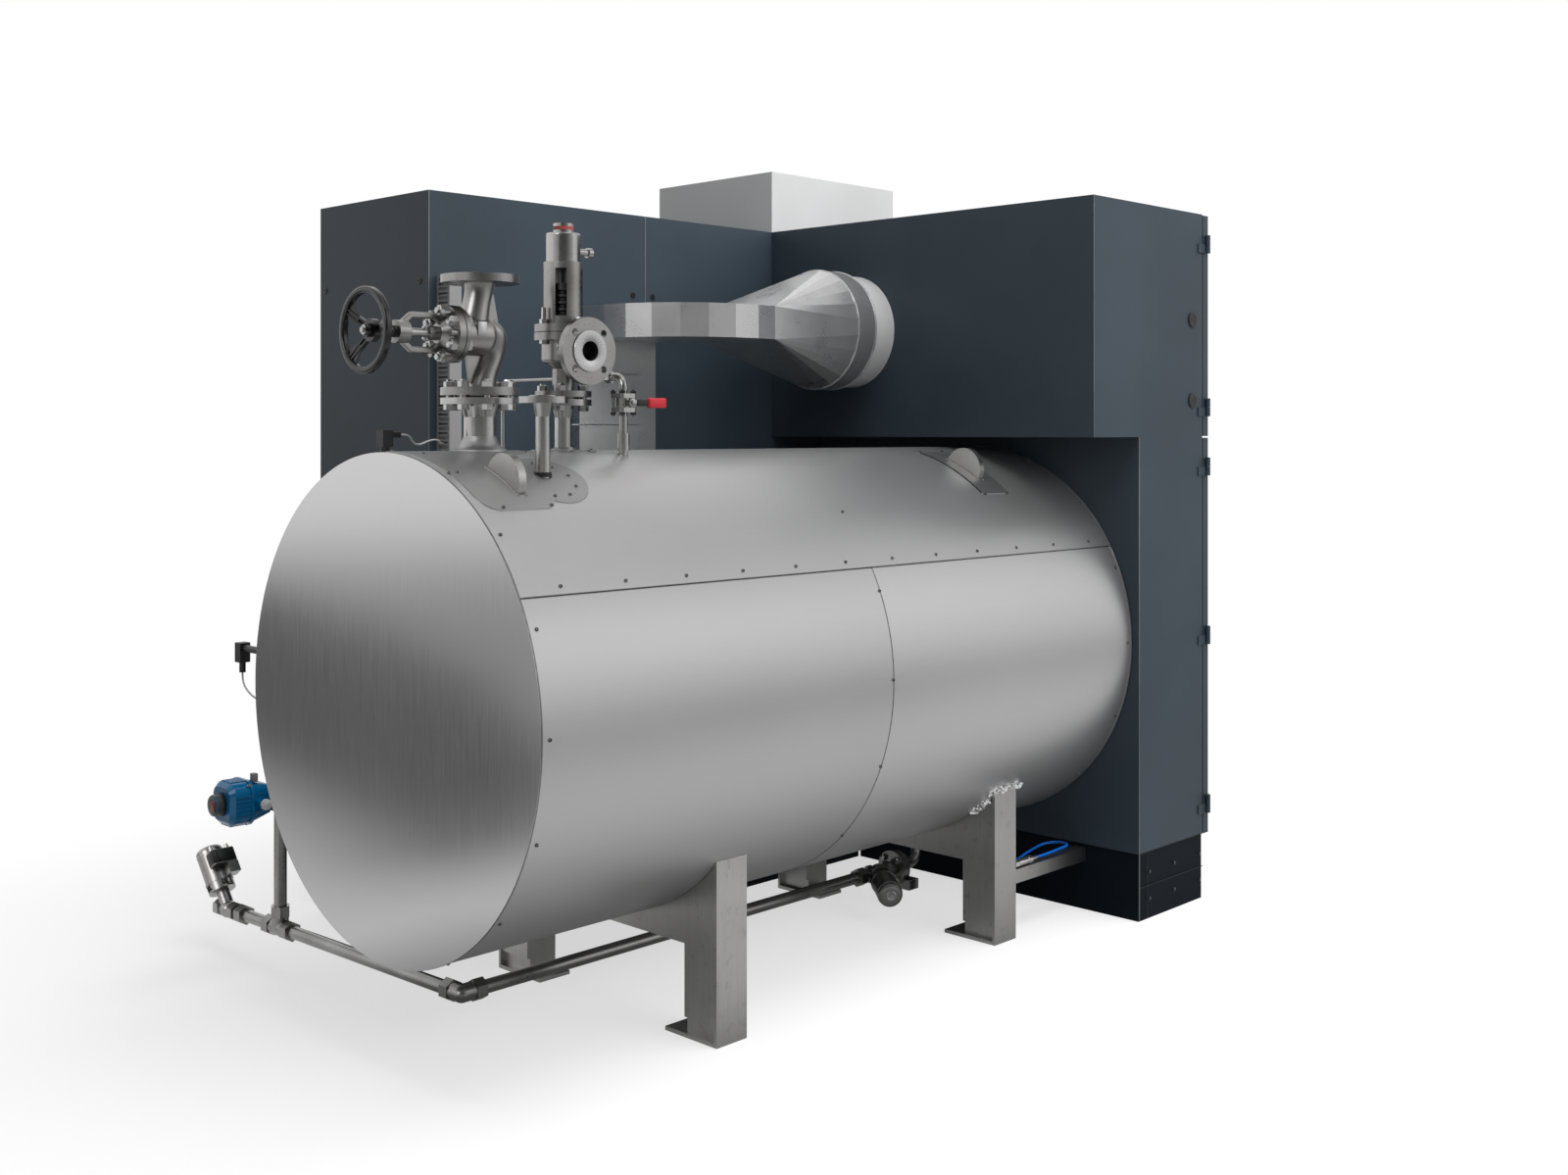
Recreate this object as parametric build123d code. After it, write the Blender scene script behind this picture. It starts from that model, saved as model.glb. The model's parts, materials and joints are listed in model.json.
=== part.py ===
from build123d import *
import math
import os

# Package steam boiler: an insulated horizontal drum on saddles, its valves, a flue and
# a row of sheet steel cabinets. X runs along the drum from its front disc, Y across to
# the cabinet row behind it, Z up from the floor. All lengths are millimetres.

# Drum and its cladding
drum_radius = 575.0
drum_length = 2192.0
drum_axis_z = 826.0
sheet = 2.0
seam_angle = 29.5
seam_overlap_angle = 4.0
lower_joint_x = 1100.0
vessel_inset = 95.0
vessel_wall = 10.0
vessel_end_gap = 14.0
vessel_dish = 60.0
ring_front_x = 172.0
ring_rear_inset = 352.0
ring_width = 16.0
pass_clearance = 2.0
seat_gap = 0.3

# Cover plates and lifting lugs on top of the drum
cover_front_x = 25.0
cover_width = 206.0
cover_near_y = 356.0
cover_far_y = 60.0
cover_corner = 45.0
cover_lobe_radius = 103.0
safety_lobe_radius = 82.0
rear_cover_width = 124.0
rear_cover_near_y = 368.0
rear_cover_far_y = 132.0
lug_front_x = 150.0
lug_rear_inset = 392.0
lug_thickness = 20.0
lug_radius = 62.0
lug_angle = 63.5

# Saddles, legs and tie beams
leg_front_x = 632.0
leg_rear_inset = 475.0
leg_width = 100.0
leg_outer_y = 426.0
leg_depth = 118.0
flange_plate = 8.0
saddle_plate = 10.0
saddle_setback = 6.0
saddle_bottom_z = 222.0
saddle_foot_gap = 46.0
saddle_top_share = 0.5
column_wall = 5.0
foot_reach = 62.0
foot_thickness = 10.0
tie_section = 40.0
tie_inset = 13.0
tie_center_z = 170.0
tie_wall = 4.0

# Steam outlet: nozzle, globe valve and hand wheel
steam_x = 265.0
steam_pipe_radius = 38.05
steam_pipe_wall = 4.0
joint_rise = 131.0
steam_flange_radius = 92.5
steam_flange_thickness = 22.0
nozzle_flange_thickness = 18.0
steam_bolt_circle = 72.5
bolt_hole_radius = 9.0
raised_radius = 61.0
raised_height = 3.0
steam_neck_radius = 46.0
weld_neck_height = 30.0
valve_length = 290.0
valve_bore_radius = 32.5
valve_neck_radius = 34.0
valve_barrel_radius = 49.0
valve_rib_thickness = 8.0
bonnet_seat_thickness = 12.0
bonnet_flange_radius = 67.0
bonnet_flange_thickness = 19.0
bonnet_face_reach = 83.0
bonnet_bolt_circle = 54.0
bonnet_stud_radius = 8.0
bonnet_stud_length = 20.0
bonnet_cone_radius = 42.0
bonnet_cone_length = 20.0
yoke_reach = 152.0
yoke_half_height = 40.0
yoke_arm = 15.0
yoke_depth = 12.0
yoke_bend_radius = 13.0
yoke_foot_half = 24.0
yoke_foot_rise = 28.0
yoke_shoulder = 29.0
yoke_hub_radius = 26.5
yoke_hub_length = 30.0
stem_radius = 10.0
stem_running_gap = 0.08
gland_radius = 17.0
gland_length = 11.0
gland_stand_off = 35.0
gland_stud_radius = 4.0
gland_stud_half = 12.5
wheel_reach = 310.0
wheel_radius = 98.0
wheel_rim_width = 15.0
wheel_rim_depth = 18.0
wheel_rim_corner = 5.0
wheel_hub_radius = 26.0
wheel_hub_length = 16.0
wheel_collar_radius = 15.5
wheel_collar_length = 10.0
wheel_dish = 18.0
wheel_spoke = 14.0
wheel_spoke_depth = 10.0
wheel_web_width = 52.0
wheel_web_thickness = 4.0
wheel_nut_radius = 12.0
wheel_nut_length = 6.0
wheel_tip_radius = 6.0
wheel_tip_length = 5.0

# Feed nozzle beside the steam nozzle
feed_y = -240.0
feed_pipe_radius = 16.85
feed_pipe_wall = 3.2
feed_flange_radius = 57.5
feed_flange_thickness = 18.0
feed_bolt_circle = 42.5
feed_hole_radius = 7.0
feed_neck_radius = 22.0

# Safety valve
safety_x = 514.0
safety_pipe_radius = 21.2
safety_pipe_wall = 3.2
inlet_flange_radius = 70.0
inlet_flange_thickness = 18.0
inlet_bolt_circle = 50.0
safety_neck_radius = 27.0
safety_bowl_radius = 54.0
safety_bowl_rise = 86.0
safety_outlet_rise = 114.0
safety_outlet_reach = 106.0
outlet_flange_radius = 82.5
outlet_flange_thickness = 20.0
outlet_bolt_circle = 62.5
outlet_raised_radius = 51.0
outlet_bore_radius = 24.5
outlet_arm_radius = 34.0
lid_joint_rise = 162.0
lid_flange_radius = 72.0
lid_flange_thickness = 20.0
spring_house_radius = 49.0
spring_house_wall = 8.0
spring_house_height = 174.0
window_width = 28.0
window_foot = 40.0
window_height = 117.0
spring_radius = 27.0
spring_wire_radius = 5.5
spring_pitch = 17.0
spindle_radius = 8.0
cap_radius = 43.0
cap_height = 72.0
crown_radius = 25.0
crown_height = 24.0
side_plug_radius = 12.5
side_plug_reach = 88.0
side_plug_rise = 30.0

# Gauge line with its ball valve
gauge_x = 620.0
gauge_y = -104.0
gauge_far_y = 392.0
gauge_line_rise = 185.0
gauge_tube_radius = 5.0
gauge_bend_radius = 28.0
gauge_pipe_radius = 10.65
ball_valve_rise = 120.0
ball_body_radius = 17.0
ball_body_height = 24.0
ball_cap_thickness = 11.0
ball_cap_half_width = 24.0
ball_bolt_circle_half = 17.5
ball_bolt_radius = 3.5
ball_stem_radius = 6.0
ball_stem_reach = 33.0
socket_radius = 15.5
socket_rise = 1.0
socket_height = 44.0
union_radius = 15.0
union_length = 34.0
lever_length = 106.0
lever_thickness = 4.0
lever_neck_width = 12.0
lever_sleeve_length = 58.0
lever_sleeve_thickness = 9.0
lever_sleeve_width = 24.0
lever_hub_radius = 10.0
lever_gap = 0.4

# Sensors and their cables
top_sensor_x = 101.0
top_sensor_y = 150.0
sensor_plug = 28.0
top_plug_rise = 12.0
sensor_plug_height = 40.0
sensor_gland_drop = 10.0
sensor_hex_radius = 11.0
sensor_gland_radius = 8.0
sensor_gland_length = 26.0
side_sensor_x = 25.0
side_sensor_rise = 72.0
side_sensor_reach = 100.0
side_sensor_radius = 9.0
side_collar_radius = 16.0
side_collar_length = 8.0
clip_length = 8.0
side_plug_height = 50.0
cable_radius = 2.5

# Cabinets
cabinet_left_x = 580.0
cabinet_width = 800.0
cabinet_front_y = 682.0
cabinet_depth = 574.0
cabinet_top_z = 2126.0
plinth_height = 200.0
plinth_setback = 10.0
base_front_y = 503.0
upper_housing_depth = 639.0
lower_housing_depth = 398.0
housing_near_y = -600.0
housing_split_z = 1434.0
housing_wall = 25.0
lower_plinth_inset = 33.0
door_thickness = 30.0
door_share = 0.5
door_gap = 5.0
door_seal_gap = 5.0
hinge_radius = 7.0
hinge_length = 56.0
hinge_stand_off = 9.0
hinge_plate = 4.0
hinge_inset = 92.0
roof_box_height = 206.0
roof_box_inset = 2.0
panel_gap = 4.0

# Flue
flue_y = 320.0
flue_z = 1772.0
collar_radius = 179.0
collar_length = 94.0
flue_ring_radius = 188.0
flue_ring_length = 86.0
flue_wall = 3.0
duct_width = 300.0
duct_height = 98.0
flue_neck_length = 69.0
elbow_end_y = 488.0
elbow_segments = 6
riser_depth = 80.0
riser_foot_z = 900.0
transition_length = 330.0

# Wiring duct on the cabinet face
wiring_x = 607.0
wiring_width = 40.0
wiring_depth = 62.0
wiring_top_z = 1888.0
wiring_bottom_z = 760.0
wiring_cover = 5.0
slot_pitch = 26.0
slot_height = 9.0
slot_depth = 44.0

# Drain line under the drum
drain_z = 115.0
drain_y = 42.0
drain_elbow_x = 243.0
drain_skew = 2.5
drain_radius = 16.85
drain_cross_length = 1050.0
drain_tee_share = 0.75
drain_end_reach = 69.0
drain_nut_radius = 27.0
drain_nut_length = 30.0
drain_fitting_radius = 22.0
riser_valve_z = 474.0
riser_return_z = 600.0
riser_ball_radius = 27.0
actuator_near = 48.0
actuator_cover_length = 54.0
actuator_rim_length = 9.0
actuator_base_length = 58.0
actuator_side = 112.0
actuator_rim_proud = 3.0
actuator_back_side = 78.0
actuator_corner = 34.0
actuator_chamfer = 12.0
actuator_nose_radius = 27.0
actuator_nose_length = 25.0
actuator_rib_width = 4.0
actuator_rib_height = 2.5
actuator_rib_count = 5
actuator_gland_radius = 15.0
actuator_gland_length = 26.0
actuator_bracket = 44.0
angle_body_radius = 24.0
angle_body_length = 96.0
angle_neck_radius = 18.0
angle_neck_length = 56.0
bell_length = 24.0
bell_wall = 3.0
bell_window = 26.0
piston_radius = 37.0
piston_length = 106.0
piston_dome = 12.0
piston_tilt = 53.0
piston_ring = 1.5
coil_width = 70.0
coil_depth = 34.0
coil_height = 42.0
coil_side = 30.0
pilot_block = 32.0
near_valve_offset = 40.0
near_flange_offset = 76.0
near_riser_offset = 104.0
near_flange_radius = 52.0
near_flange_thickness = 14.0
near_bend_radius = 38.0
near_valve_roll = 9.0

# Air hose on the tie beam
hose_radius = 4.0
fitting_stub_radius = 8.0
fitting_stub_length = 21.0
fitting_radius = 11.0
fitting_hex_radius = 12.0
fitting_hex_length = 18.0
fitting_body_length = 49.0
fitting_collar_radius = 12.5
fitting_collar_length = 15.0
fitting_tail_radius = 7.0
fitting_tail_length = 30.0
fitting_y = 402.0
overrun = 5.0

# Derived places
cladding_radius = drum_radius + sheet
cover_radius = cladding_radius + sheet
cabinet_rear_y = cabinet_front_y + cabinet_depth
vessel_radius = drum_radius - vessel_inset
drum_top_z = drum_axis_z + drum_radius
joint_z = drum_top_z + joint_rise
valve_mid_z = joint_z + valve_length / 2
valve_top_z = joint_z + valve_length
ring_rear_x = drum_length - ring_rear_inset
lug_rear_x = drum_length - lug_rear_inset
rear_cover_x = lug_rear_x - rear_cover_width / 2
leg_rear_x = drum_length - leg_rear_inset
leg_rear_face_x = leg_rear_x + leg_width
lid_joint_z = joint_z + lid_joint_rise
safety_bowl_z = joint_z + safety_bowl_rise
safety_outlet_z = joint_z + safety_outlet_rise
spring_house_top_z = lid_joint_z + spring_house_height
cap_top_z = spring_house_top_z + cap_height
crown_top_z = cap_top_z + crown_height
side_plug_z = spring_house_top_z + side_plug_rise
gauge_line_z = drum_top_z + gauge_line_rise
ball_valve_z = drum_top_z + ball_valve_rise
socket_bottom_z = drum_top_z + socket_rise
top_plug_base_z = drum_top_z + top_plug_rise
top_gland_z = top_plug_base_z + sensor_plug_height - sensor_gland_drop
side_sensor_z = drum_axis_z + side_sensor_rise
base_left_x = cabinet_left_x + cabinet_width
housing_rear_x = drum_length + lower_housing_depth
housing_face_x = housing_rear_x - upper_housing_depth
lower_plinth_rear_x = housing_rear_x - lower_plinth_inset
ring_face_x = housing_face_x - collar_length - flue_ring_length
transition_face_x = ring_face_x - transition_length
elbow_radius = elbow_end_y - flue_y + duct_width / 2
duct_outer_x = transition_face_x - flue_neck_length - elbow_radius
near_valve_x = leg_rear_x + near_valve_offset
near_flange_x = near_valve_x + near_flange_offset
near_riser_x = near_flange_x + near_riser_offset
drain_end_x = near_valve_x - drain_end_reach
fitting_z = tie_center_z + tie_section / 2 + fitting_collar_radius + seat_gap
door_split_y = housing_near_y + (cabinet_front_y - housing_near_y) * door_share
lug_y = -drum_radius * math.cos(math.radians(lug_angle))
lug_z = drum_axis_z + drum_radius * math.sin(math.radians(lug_angle))
drum_axis = Axis((0, 0, drum_axis_z), (1, 0, 0))


def block(low, high):
    """A box between two corners."""
    size = [b - a for a, b in zip(low, high)]
    middle = [(a + b) / 2 for a, b in zip(low, high)]
    return Pos(*middle) * Box(*size)


def rod(start, direction, length, radius):
    """A round bar from a point, along a direction."""
    return Plane(origin=start, z_dir=direction) * Cylinder(
        radius, length, align=(Align.CENTER, Align.CENTER, Align.MIN))


def pipe(start, direction, length, radius, wall):
    """A round tube from a point, along a direction."""
    return rod(start, direction, length, radius) - rod(start, direction, length, radius - wall)


def hexagon(start, direction, length, radius):
    """A hexagonal bar from a point, along a direction."""
    return extrude(Plane(origin=start, z_dir=direction) * RegularPolygon(radius, 6), length)


def cone(start, direction, length, radius, end_radius):
    """A tapered round piece from a point, along a direction."""
    return Plane(origin=start, z_dir=direction) * Cone(
        radius, end_radius, length, align=(Align.CENTER, Align.CENTER, Align.MIN))


def ring_of_holes(start, direction, length, radius, circle, count, turn=0.0):
    """Bolt holes on a circle, as one tool to cut with."""
    place = Plane(origin=start, z_dir=direction)
    hole = Cylinder(radius, length, align=(Align.CENTER, Align.CENTER, Align.MIN))
    step = 360 / count
    holes = [place * Rot(0, 0, turn + step * i) * Pos(circle, 0, 0) * hole for i in range(count)]
    return Compound(holes)


def along_drum(x0, x1, radius):
    """A solid cylinder on the drum's axis between two stations."""
    return rod((x0, 0, drum_axis_z), (1, 0, 0), x1 - x0, radius)


def sector(x0, x1, low_angle):
    """The part of the drum above an angle on both sides, as a tool to cut with."""
    reach = drum_radius * 2
    side = reach * math.cos(math.radians(low_angle))
    rise = reach * math.sin(math.radians(low_angle))
    outline = make_face(Polyline((0, 0), (-side, rise), (-side, reach), (side, reach), (side, rise), close=True))
    place = Plane(origin=(x0, 0, drum_axis_z), x_dir=(0, 1, 0), z_dir=(1, 0, 0))
    return extrude(place * outline, x1 - x0)


def drum_sheet(x0, x1, radius):
    """A sheet all round the drum between two stations."""
    return along_drum(x0, x1, radius) - along_drum(x0 - overrun, x1 + overrun, radius - sheet)


def top_holes(margin):
    """Upright tools that open the cladding for the nozzles and sensors on top."""
    low_z = drum_axis_z
    reach = drum_radius * 2
    places = [
        (steam_x, 0, steam_pipe_radius),
        (steam_x, feed_y, feed_pipe_radius),
        (safety_x, 0, safety_pipe_radius),
        (gauge_x, gauge_y, gauge_pipe_radius),
        (gauge_x, gauge_far_y, gauge_tube_radius),
        (top_sensor_x, top_sensor_y, sensor_hex_radius),
    ]
    tools = [rod((x, y, low_z), (0, 0, 1), reach, r + margin) for x, y, r in places]
    return Compound(tools)


def lug_slots(margin):
    """Tools that open the cladding for the lifting lugs."""
    radial = (0, -math.cos(math.radians(lug_angle)), math.sin(math.radians(lug_angle)))
    tools = []
    for x in (lug_front_x, lug_rear_x):
        place = Plane(origin=(x, lug_y, lug_z), x_dir=(1, 0, 0), z_dir=radial)
        tools.append(place * Box(lug_thickness + margin * 2, (lug_radius + margin) * 2, lug_radius))
    return Compound(tools)


def cladding():
    """The three sheets round the drum: one over the top and two below it, which go up under its edges."""
    overlap = seam_angle + seam_overlap_angle
    top = drum_sheet(sheet, drum_length - sheet, cladding_radius) & sector(0, drum_length, seam_angle)
    pieces = [top - top_holes(pass_clearance) - lug_slots(pass_clearance)]
    for x0, x1 in ((sheet, lower_joint_x), (lower_joint_x, drum_length - sheet)):
        shell = drum_sheet(x0, x1, drum_radius) - sector(x0 - overrun, x1 + overrun, overlap)
        pieces.append(shell - saddle_slots() - low_holes())
    return pieces


def saddle_slots():
    """Tools that open the lower sheets for the saddle plates."""
    tools = []
    for x in (leg_front_x, leg_rear_x):
        x0 = x + saddle_setback - pass_clearance
        x1 = x + saddle_setback + saddle_plate + pass_clearance
        half = leg_outer_y - flange_plate + pass_clearance
        tools.append(block((x0, -half, 0), (x1, half, drum_axis_z)))
    return Compound(tools)


def low_holes():
    """Tools that open the lower sheets for the side sensor, the drain and the return pipe."""
    reach = drum_radius * 2
    return Compound([
        rod((side_sensor_x, 0, side_sensor_z), (0, 1, 0), reach, side_sensor_radius + pass_clearance),
        rod((near_riser_x, drain_y, 0), (0, 0, 1), drum_axis_z, drain_radius + pass_clearance),
        rod((tee_place()[0], 0, riser_return_z), (0, 1, 0), reach, drain_radius + pass_clearance),
    ])


def end_plates():
    """The flat discs that close the cladding at both ends."""
    front = along_drum(0, sheet, cladding_radius)
    rear = along_drum(drum_length - sheet, drum_length, cladding_radius)
    return front, rear


def vessel():
    """The pressure vessel inside the cladding, with shallow dished ends and the rings that carry the sheets."""
    place = Plane(origin=(0, 0, drum_axis_z), x_dir=(1, 0, 0), z_dir=(0, -1, 0))

    def form(radius, start, end):
        crown = (radius * radius + vessel_dish * vessel_dish) / (vessel_dish * 2)
        half = math.asin(radius / crown) / 2
        bulge = (crown * (1 - math.cos(half)), crown * math.sin(half))
        left = ThreePointArc((start, 0), (start + bulge[0], bulge[1]), (start + vessel_dish, radius))
        side = Line((start + vessel_dish, radius), (end - vessel_dish, radius))
        right = ThreePointArc((end - vessel_dish, radius), (end - bulge[0], bulge[1]), (end, 0))
        middle = Line((end, 0), (start, 0))
        return revolve(place * make_face(left + side + right + middle), drum_axis)

    x0 = vessel_end_gap
    x1 = drum_length - vessel_end_gap
    shell = form(vessel_radius, x0, x1) - form(vessel_radius - vessel_wall, x0 + vessel_wall, x1 - vessel_wall)
    for x in (ring_front_x, lower_joint_x - ring_width / 2, ring_rear_x):
        ring = along_drum(x, x + ring_width, drum_radius - sheet)
        shell += ring - along_drum(x - overrun, x + ring_width + overrun, vessel_radius - vessel_wall / 2)
    return shell


def cover_plates():
    """The curved plates round the two nozzles, the safety nozzle and the rear lug."""
    x0 = cover_front_x
    x1 = cover_front_x + cover_width
    layer = along_drum(0, drum_length, cover_radius) - along_drum(-overrun, drum_length + overrun, cladding_radius)

    def plate(outline):
        return layer & extrude(Pos(0, 0, drum_axis_z) * outline, drum_radius * 2)

    panel = Pos((x0 + x1) / 2, (cover_far_y - cover_near_y) / 2) \
        * RectangleRounded(x1 - x0, cover_far_y + cover_near_y, cover_corner)
    outline = panel + Pos(steam_x, feed_y) * Circle(cover_lobe_radius) + Pos(steam_x, 0) * Circle(cover_lobe_radius)
    holes = top_holes(pass_clearance) + lug_slots(pass_clearance)
    front = plate(outline) - holes
    middle = plate(Pos(safety_x, 0) * Circle(safety_lobe_radius)) - holes
    rear_panel = Pos(rear_cover_x + rear_cover_width / 2, -(rear_cover_near_y + rear_cover_far_y) / 2) \
        * RectangleRounded(rear_cover_width, rear_cover_near_y - rear_cover_far_y, cover_corner / 3)
    rear = plate(rear_panel) - lug_slots(pass_clearance)
    return front, middle, rear


def lifting_lug(x):
    """A half round lug plate that stands on the vessel and comes out through the cladding."""
    radial = (0, -math.cos(math.radians(lug_angle)), math.sin(math.radians(lug_angle)))
    place = Plane(origin=(x - lug_thickness / 2, lug_y, lug_z), x_dir=(0, radial[2], -radial[1]), z_dir=(1, 0, 0))
    side = (drum_radius - vessel_radius) + vessel_wall / 2
    profile = Circle(lug_radius) + Pos(0, -side / 2) * Rectangle(lug_radius * 2, side)
    profile &= Pos(0, (lug_radius - side) / 2) * Rectangle(lug_radius * 2, lug_radius + side)
    body = extrude(place * profile, lug_thickness)
    return body - along_drum(0, drum_length, vessel_radius + seat_gap)


def leg(x, side):
    """One leg: an outer flange plate over a box column, on a foot plate. side is -1 near, 1 far."""
    outer = leg_outer_y
    inner = leg_outer_y - leg_depth
    shell_tool = along_drum(-overrun, drum_length + overrun, drum_radius + seat_gap)

    def span(x0, x1, y_out, y_in, z0, z1):
        ys = sorted((side * y_out, side * y_in))
        return block((x0, ys[0], z0), (x1, ys[1], z1))

    top = drum_axis_z
    plate = span(x, x + leg_width, outer, outer - flange_plate, foot_thickness, top)
    back = x + saddle_setback + saddle_plate
    column = span(back, x + leg_width, outer - flange_plate, inner, foot_thickness, top)
    column -= span(back + column_wall, x + leg_width - column_wall,
                   outer - flange_plate, inner + column_wall, foot_thickness + column_wall, top)
    foot = span(x, x + leg_width, outer, inner - foot_reach, 0, foot_thickness)
    return plate + column + foot - shell_tool


def saddle(x):
    """The upright plate from leg to leg that the vessel rests in."""
    x0 = x + saddle_setback
    half = leg_outer_y - flange_plate
    inner = leg_outer_y - leg_depth
    body = block((x0, -half, saddle_bottom_z), (x0 + saddle_plate, half, drum_axis_z))
    for side in (-1, 1):
        ys = sorted((side * half, side * inner))
        body += block((x0, ys[0], saddle_foot_gap), (x0 + saddle_plate, ys[1], drum_axis_z))
    crown = vessel_radius * saddle_top_share
    body -= along_drum(-overrun, drum_length + overrun, vessel_radius + seat_gap)
    top_cut = block((x0 - overrun, -drum_radius, drum_axis_z - crown),
                    (x0 + saddle_plate + overrun, drum_radius, drum_axis_z + overrun))
    return body - top_cut


def tie_beams():
    """Box beams between the rear legs and the lower housing, one on each side."""
    beams = []
    for side in (-1, 1):
        y_out = side * (leg_outer_y - tie_inset)
        y_in = side * (leg_outer_y - tie_inset - tie_section)
        low_y, high_y = sorted((y_out, y_in))
        z0 = tie_center_z - tie_section / 2
        z1 = tie_center_z + tie_section / 2
        beam = block((leg_rear_face_x, low_y, z0), (drum_length, high_y, z1))
        beam -= block((leg_rear_face_x, low_y + tie_wall, z0 + tie_wall),
                      (drum_length, high_y - tie_wall, z1 - tie_wall))
        beams.append(beam)
    return Compound(beams)


def flange(face, direction, radius, thickness, circle, hole_radius, count, raised, bore, turn=0.0):
    """A round flange whose raised face lies at a point and looks along a direction."""
    away = tuple(-d for d in direction)
    back = Plane(origin=face, z_dir=away)
    body = rod(face, away, raised_height, raised)
    start = tuple(f + a * raised_height for f, a in zip(face, away))
    disc = rod(start, away, thickness - raised_height, radius)
    holes = ring_of_holes(start, away, thickness - raised_height, hole_radius, circle, count, turn)
    return body + (disc - holes) - rod(face, away, thickness, bore)


def nozzle(x, y, radius, wall, flange_radius, thickness, circle, hole_radius, count, raised, neck_radius, turn):
    """A pipe stub from the vessel with a weld neck flange on top."""
    flange_z = joint_z
    depth = vessel_radius * vessel_radius - y * y
    base_z = drum_axis_z + math.sqrt(depth) - vessel_wall
    neck_z = flange_z - thickness - weld_neck_height
    stub = rod((x, y, base_z), (0, 0, 1), flange_z - thickness - base_z, radius)
    neck = cone((x, y, neck_z), (0, 0, 1), weld_neck_height, radius, neck_radius)
    top = flange((x, y, flange_z), (0, 0, 1), flange_radius, thickness, circle, hole_radius, count, raised,
                 radius - wall, turn)
    body = stub + neck + top - rod((x, y, base_z - overrun), (0, 0, 1), flange_z - base_z + overrun * 2,
                                   radius - wall)
    return body - along_drum(0, drum_length, vessel_radius + seat_gap)


def steam_valve_body():
    """Globe valve casting: two flanges, an S shaped passage, the bonnet barrel and its two ribs."""
    bottom = flange((steam_x, 0, joint_z), (0, 0, -1), steam_flange_radius, steam_flange_thickness,
                    steam_bolt_circle, bolt_hole_radius, 8, raised_radius, valve_bore_radius, 22.5)
    top = flange((steam_x, 0, valve_top_z), (0, 0, 1), steam_flange_radius, steam_flange_thickness,
                 steam_bolt_circle, bolt_hole_radius, 8, raised_radius, valve_bore_radius, 22.5)
    low_z = joint_z + steam_flange_thickness
    high_z = valve_top_z - steam_flange_thickness
    span = high_z - low_z
    neck = valve_neck_radius
    lower_shares = ((0.0, 0.08, 1.05), (0.06, 0.20, 0.95), (0.17, 0.49, 0.91), (0.26, 0.80, 0.91), (0.36, 1.0, 0.95),
                    (0.46, 0.97, 1.09), (0.57, 0.66, 1.10), (0.65, 0.25, 0.88))
    upper_shares = ((0.48, -0.70, 1.0), (0.62, -0.59, 1.05), (0.74, -0.41, 1.0), (0.84, -0.24, 0.97),
                    (0.93, -0.09, 1.0), (1.0, -0.03, 1.07))

    def throat(shares):
        return loft([Pos(steam_x + neck * dx, 0, low_z + span * h) * Circle(neck * r) for h, dx, r in shares])

    barrel_radius = valve_barrel_radius
    face_x = steam_x - bonnet_face_reach
    barrel = rod((face_x, 0, valve_mid_z), (1, 0, 0), bonnet_face_reach, barrel_radius)
    dome = Pos(steam_x, 0, valve_mid_z) * scale(Sphere(barrel_radius), (0.7, 1, 1))
    seat_flange = rod((face_x, 0, valve_mid_z), (1, 0, 0), bonnet_seat_thickness, bonnet_flange_radius)
    root = cone((face_x + bonnet_seat_thickness, 0, valve_mid_z), (1, 0, 0), bonnet_seat_thickness,
                barrel_radius * 1.18, barrel_radius)
    place = Plane(origin=(steam_x, valve_rib_thickness / 2, valve_mid_z), x_dir=(1, 0, 0), z_dir=(0, -1, 0))
    upper_rib = make_face(Polyline((neck * 0.7, span * 0.42), (neck * 1.08, span * 0.40), (neck * 1.50, span * 0.10),
                                   (0, 0), close=True))
    lower_rib = make_face(Polyline((-neck * 1.24, -span * 0.16), (-neck * 0.96, -span * 0.45), (0, -span * 0.45),
                                   (0, 0), close=True))
    ribs = extrude(place * upper_rib, valve_rib_thickness) + extrude(place * lower_rib, valve_rib_thickness)
    body = bottom + top + throat(lower_shares) + throat(upper_shares) + barrel + dome + root + seat_flange + ribs
    body -= rod((steam_x, 0, joint_z), (0, 0, 1), steam_flange_thickness, valve_bore_radius)
    body -= rod((steam_x, 0, valve_top_z), (0, 0, -1), steam_flange_thickness, valve_bore_radius)
    return body


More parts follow.
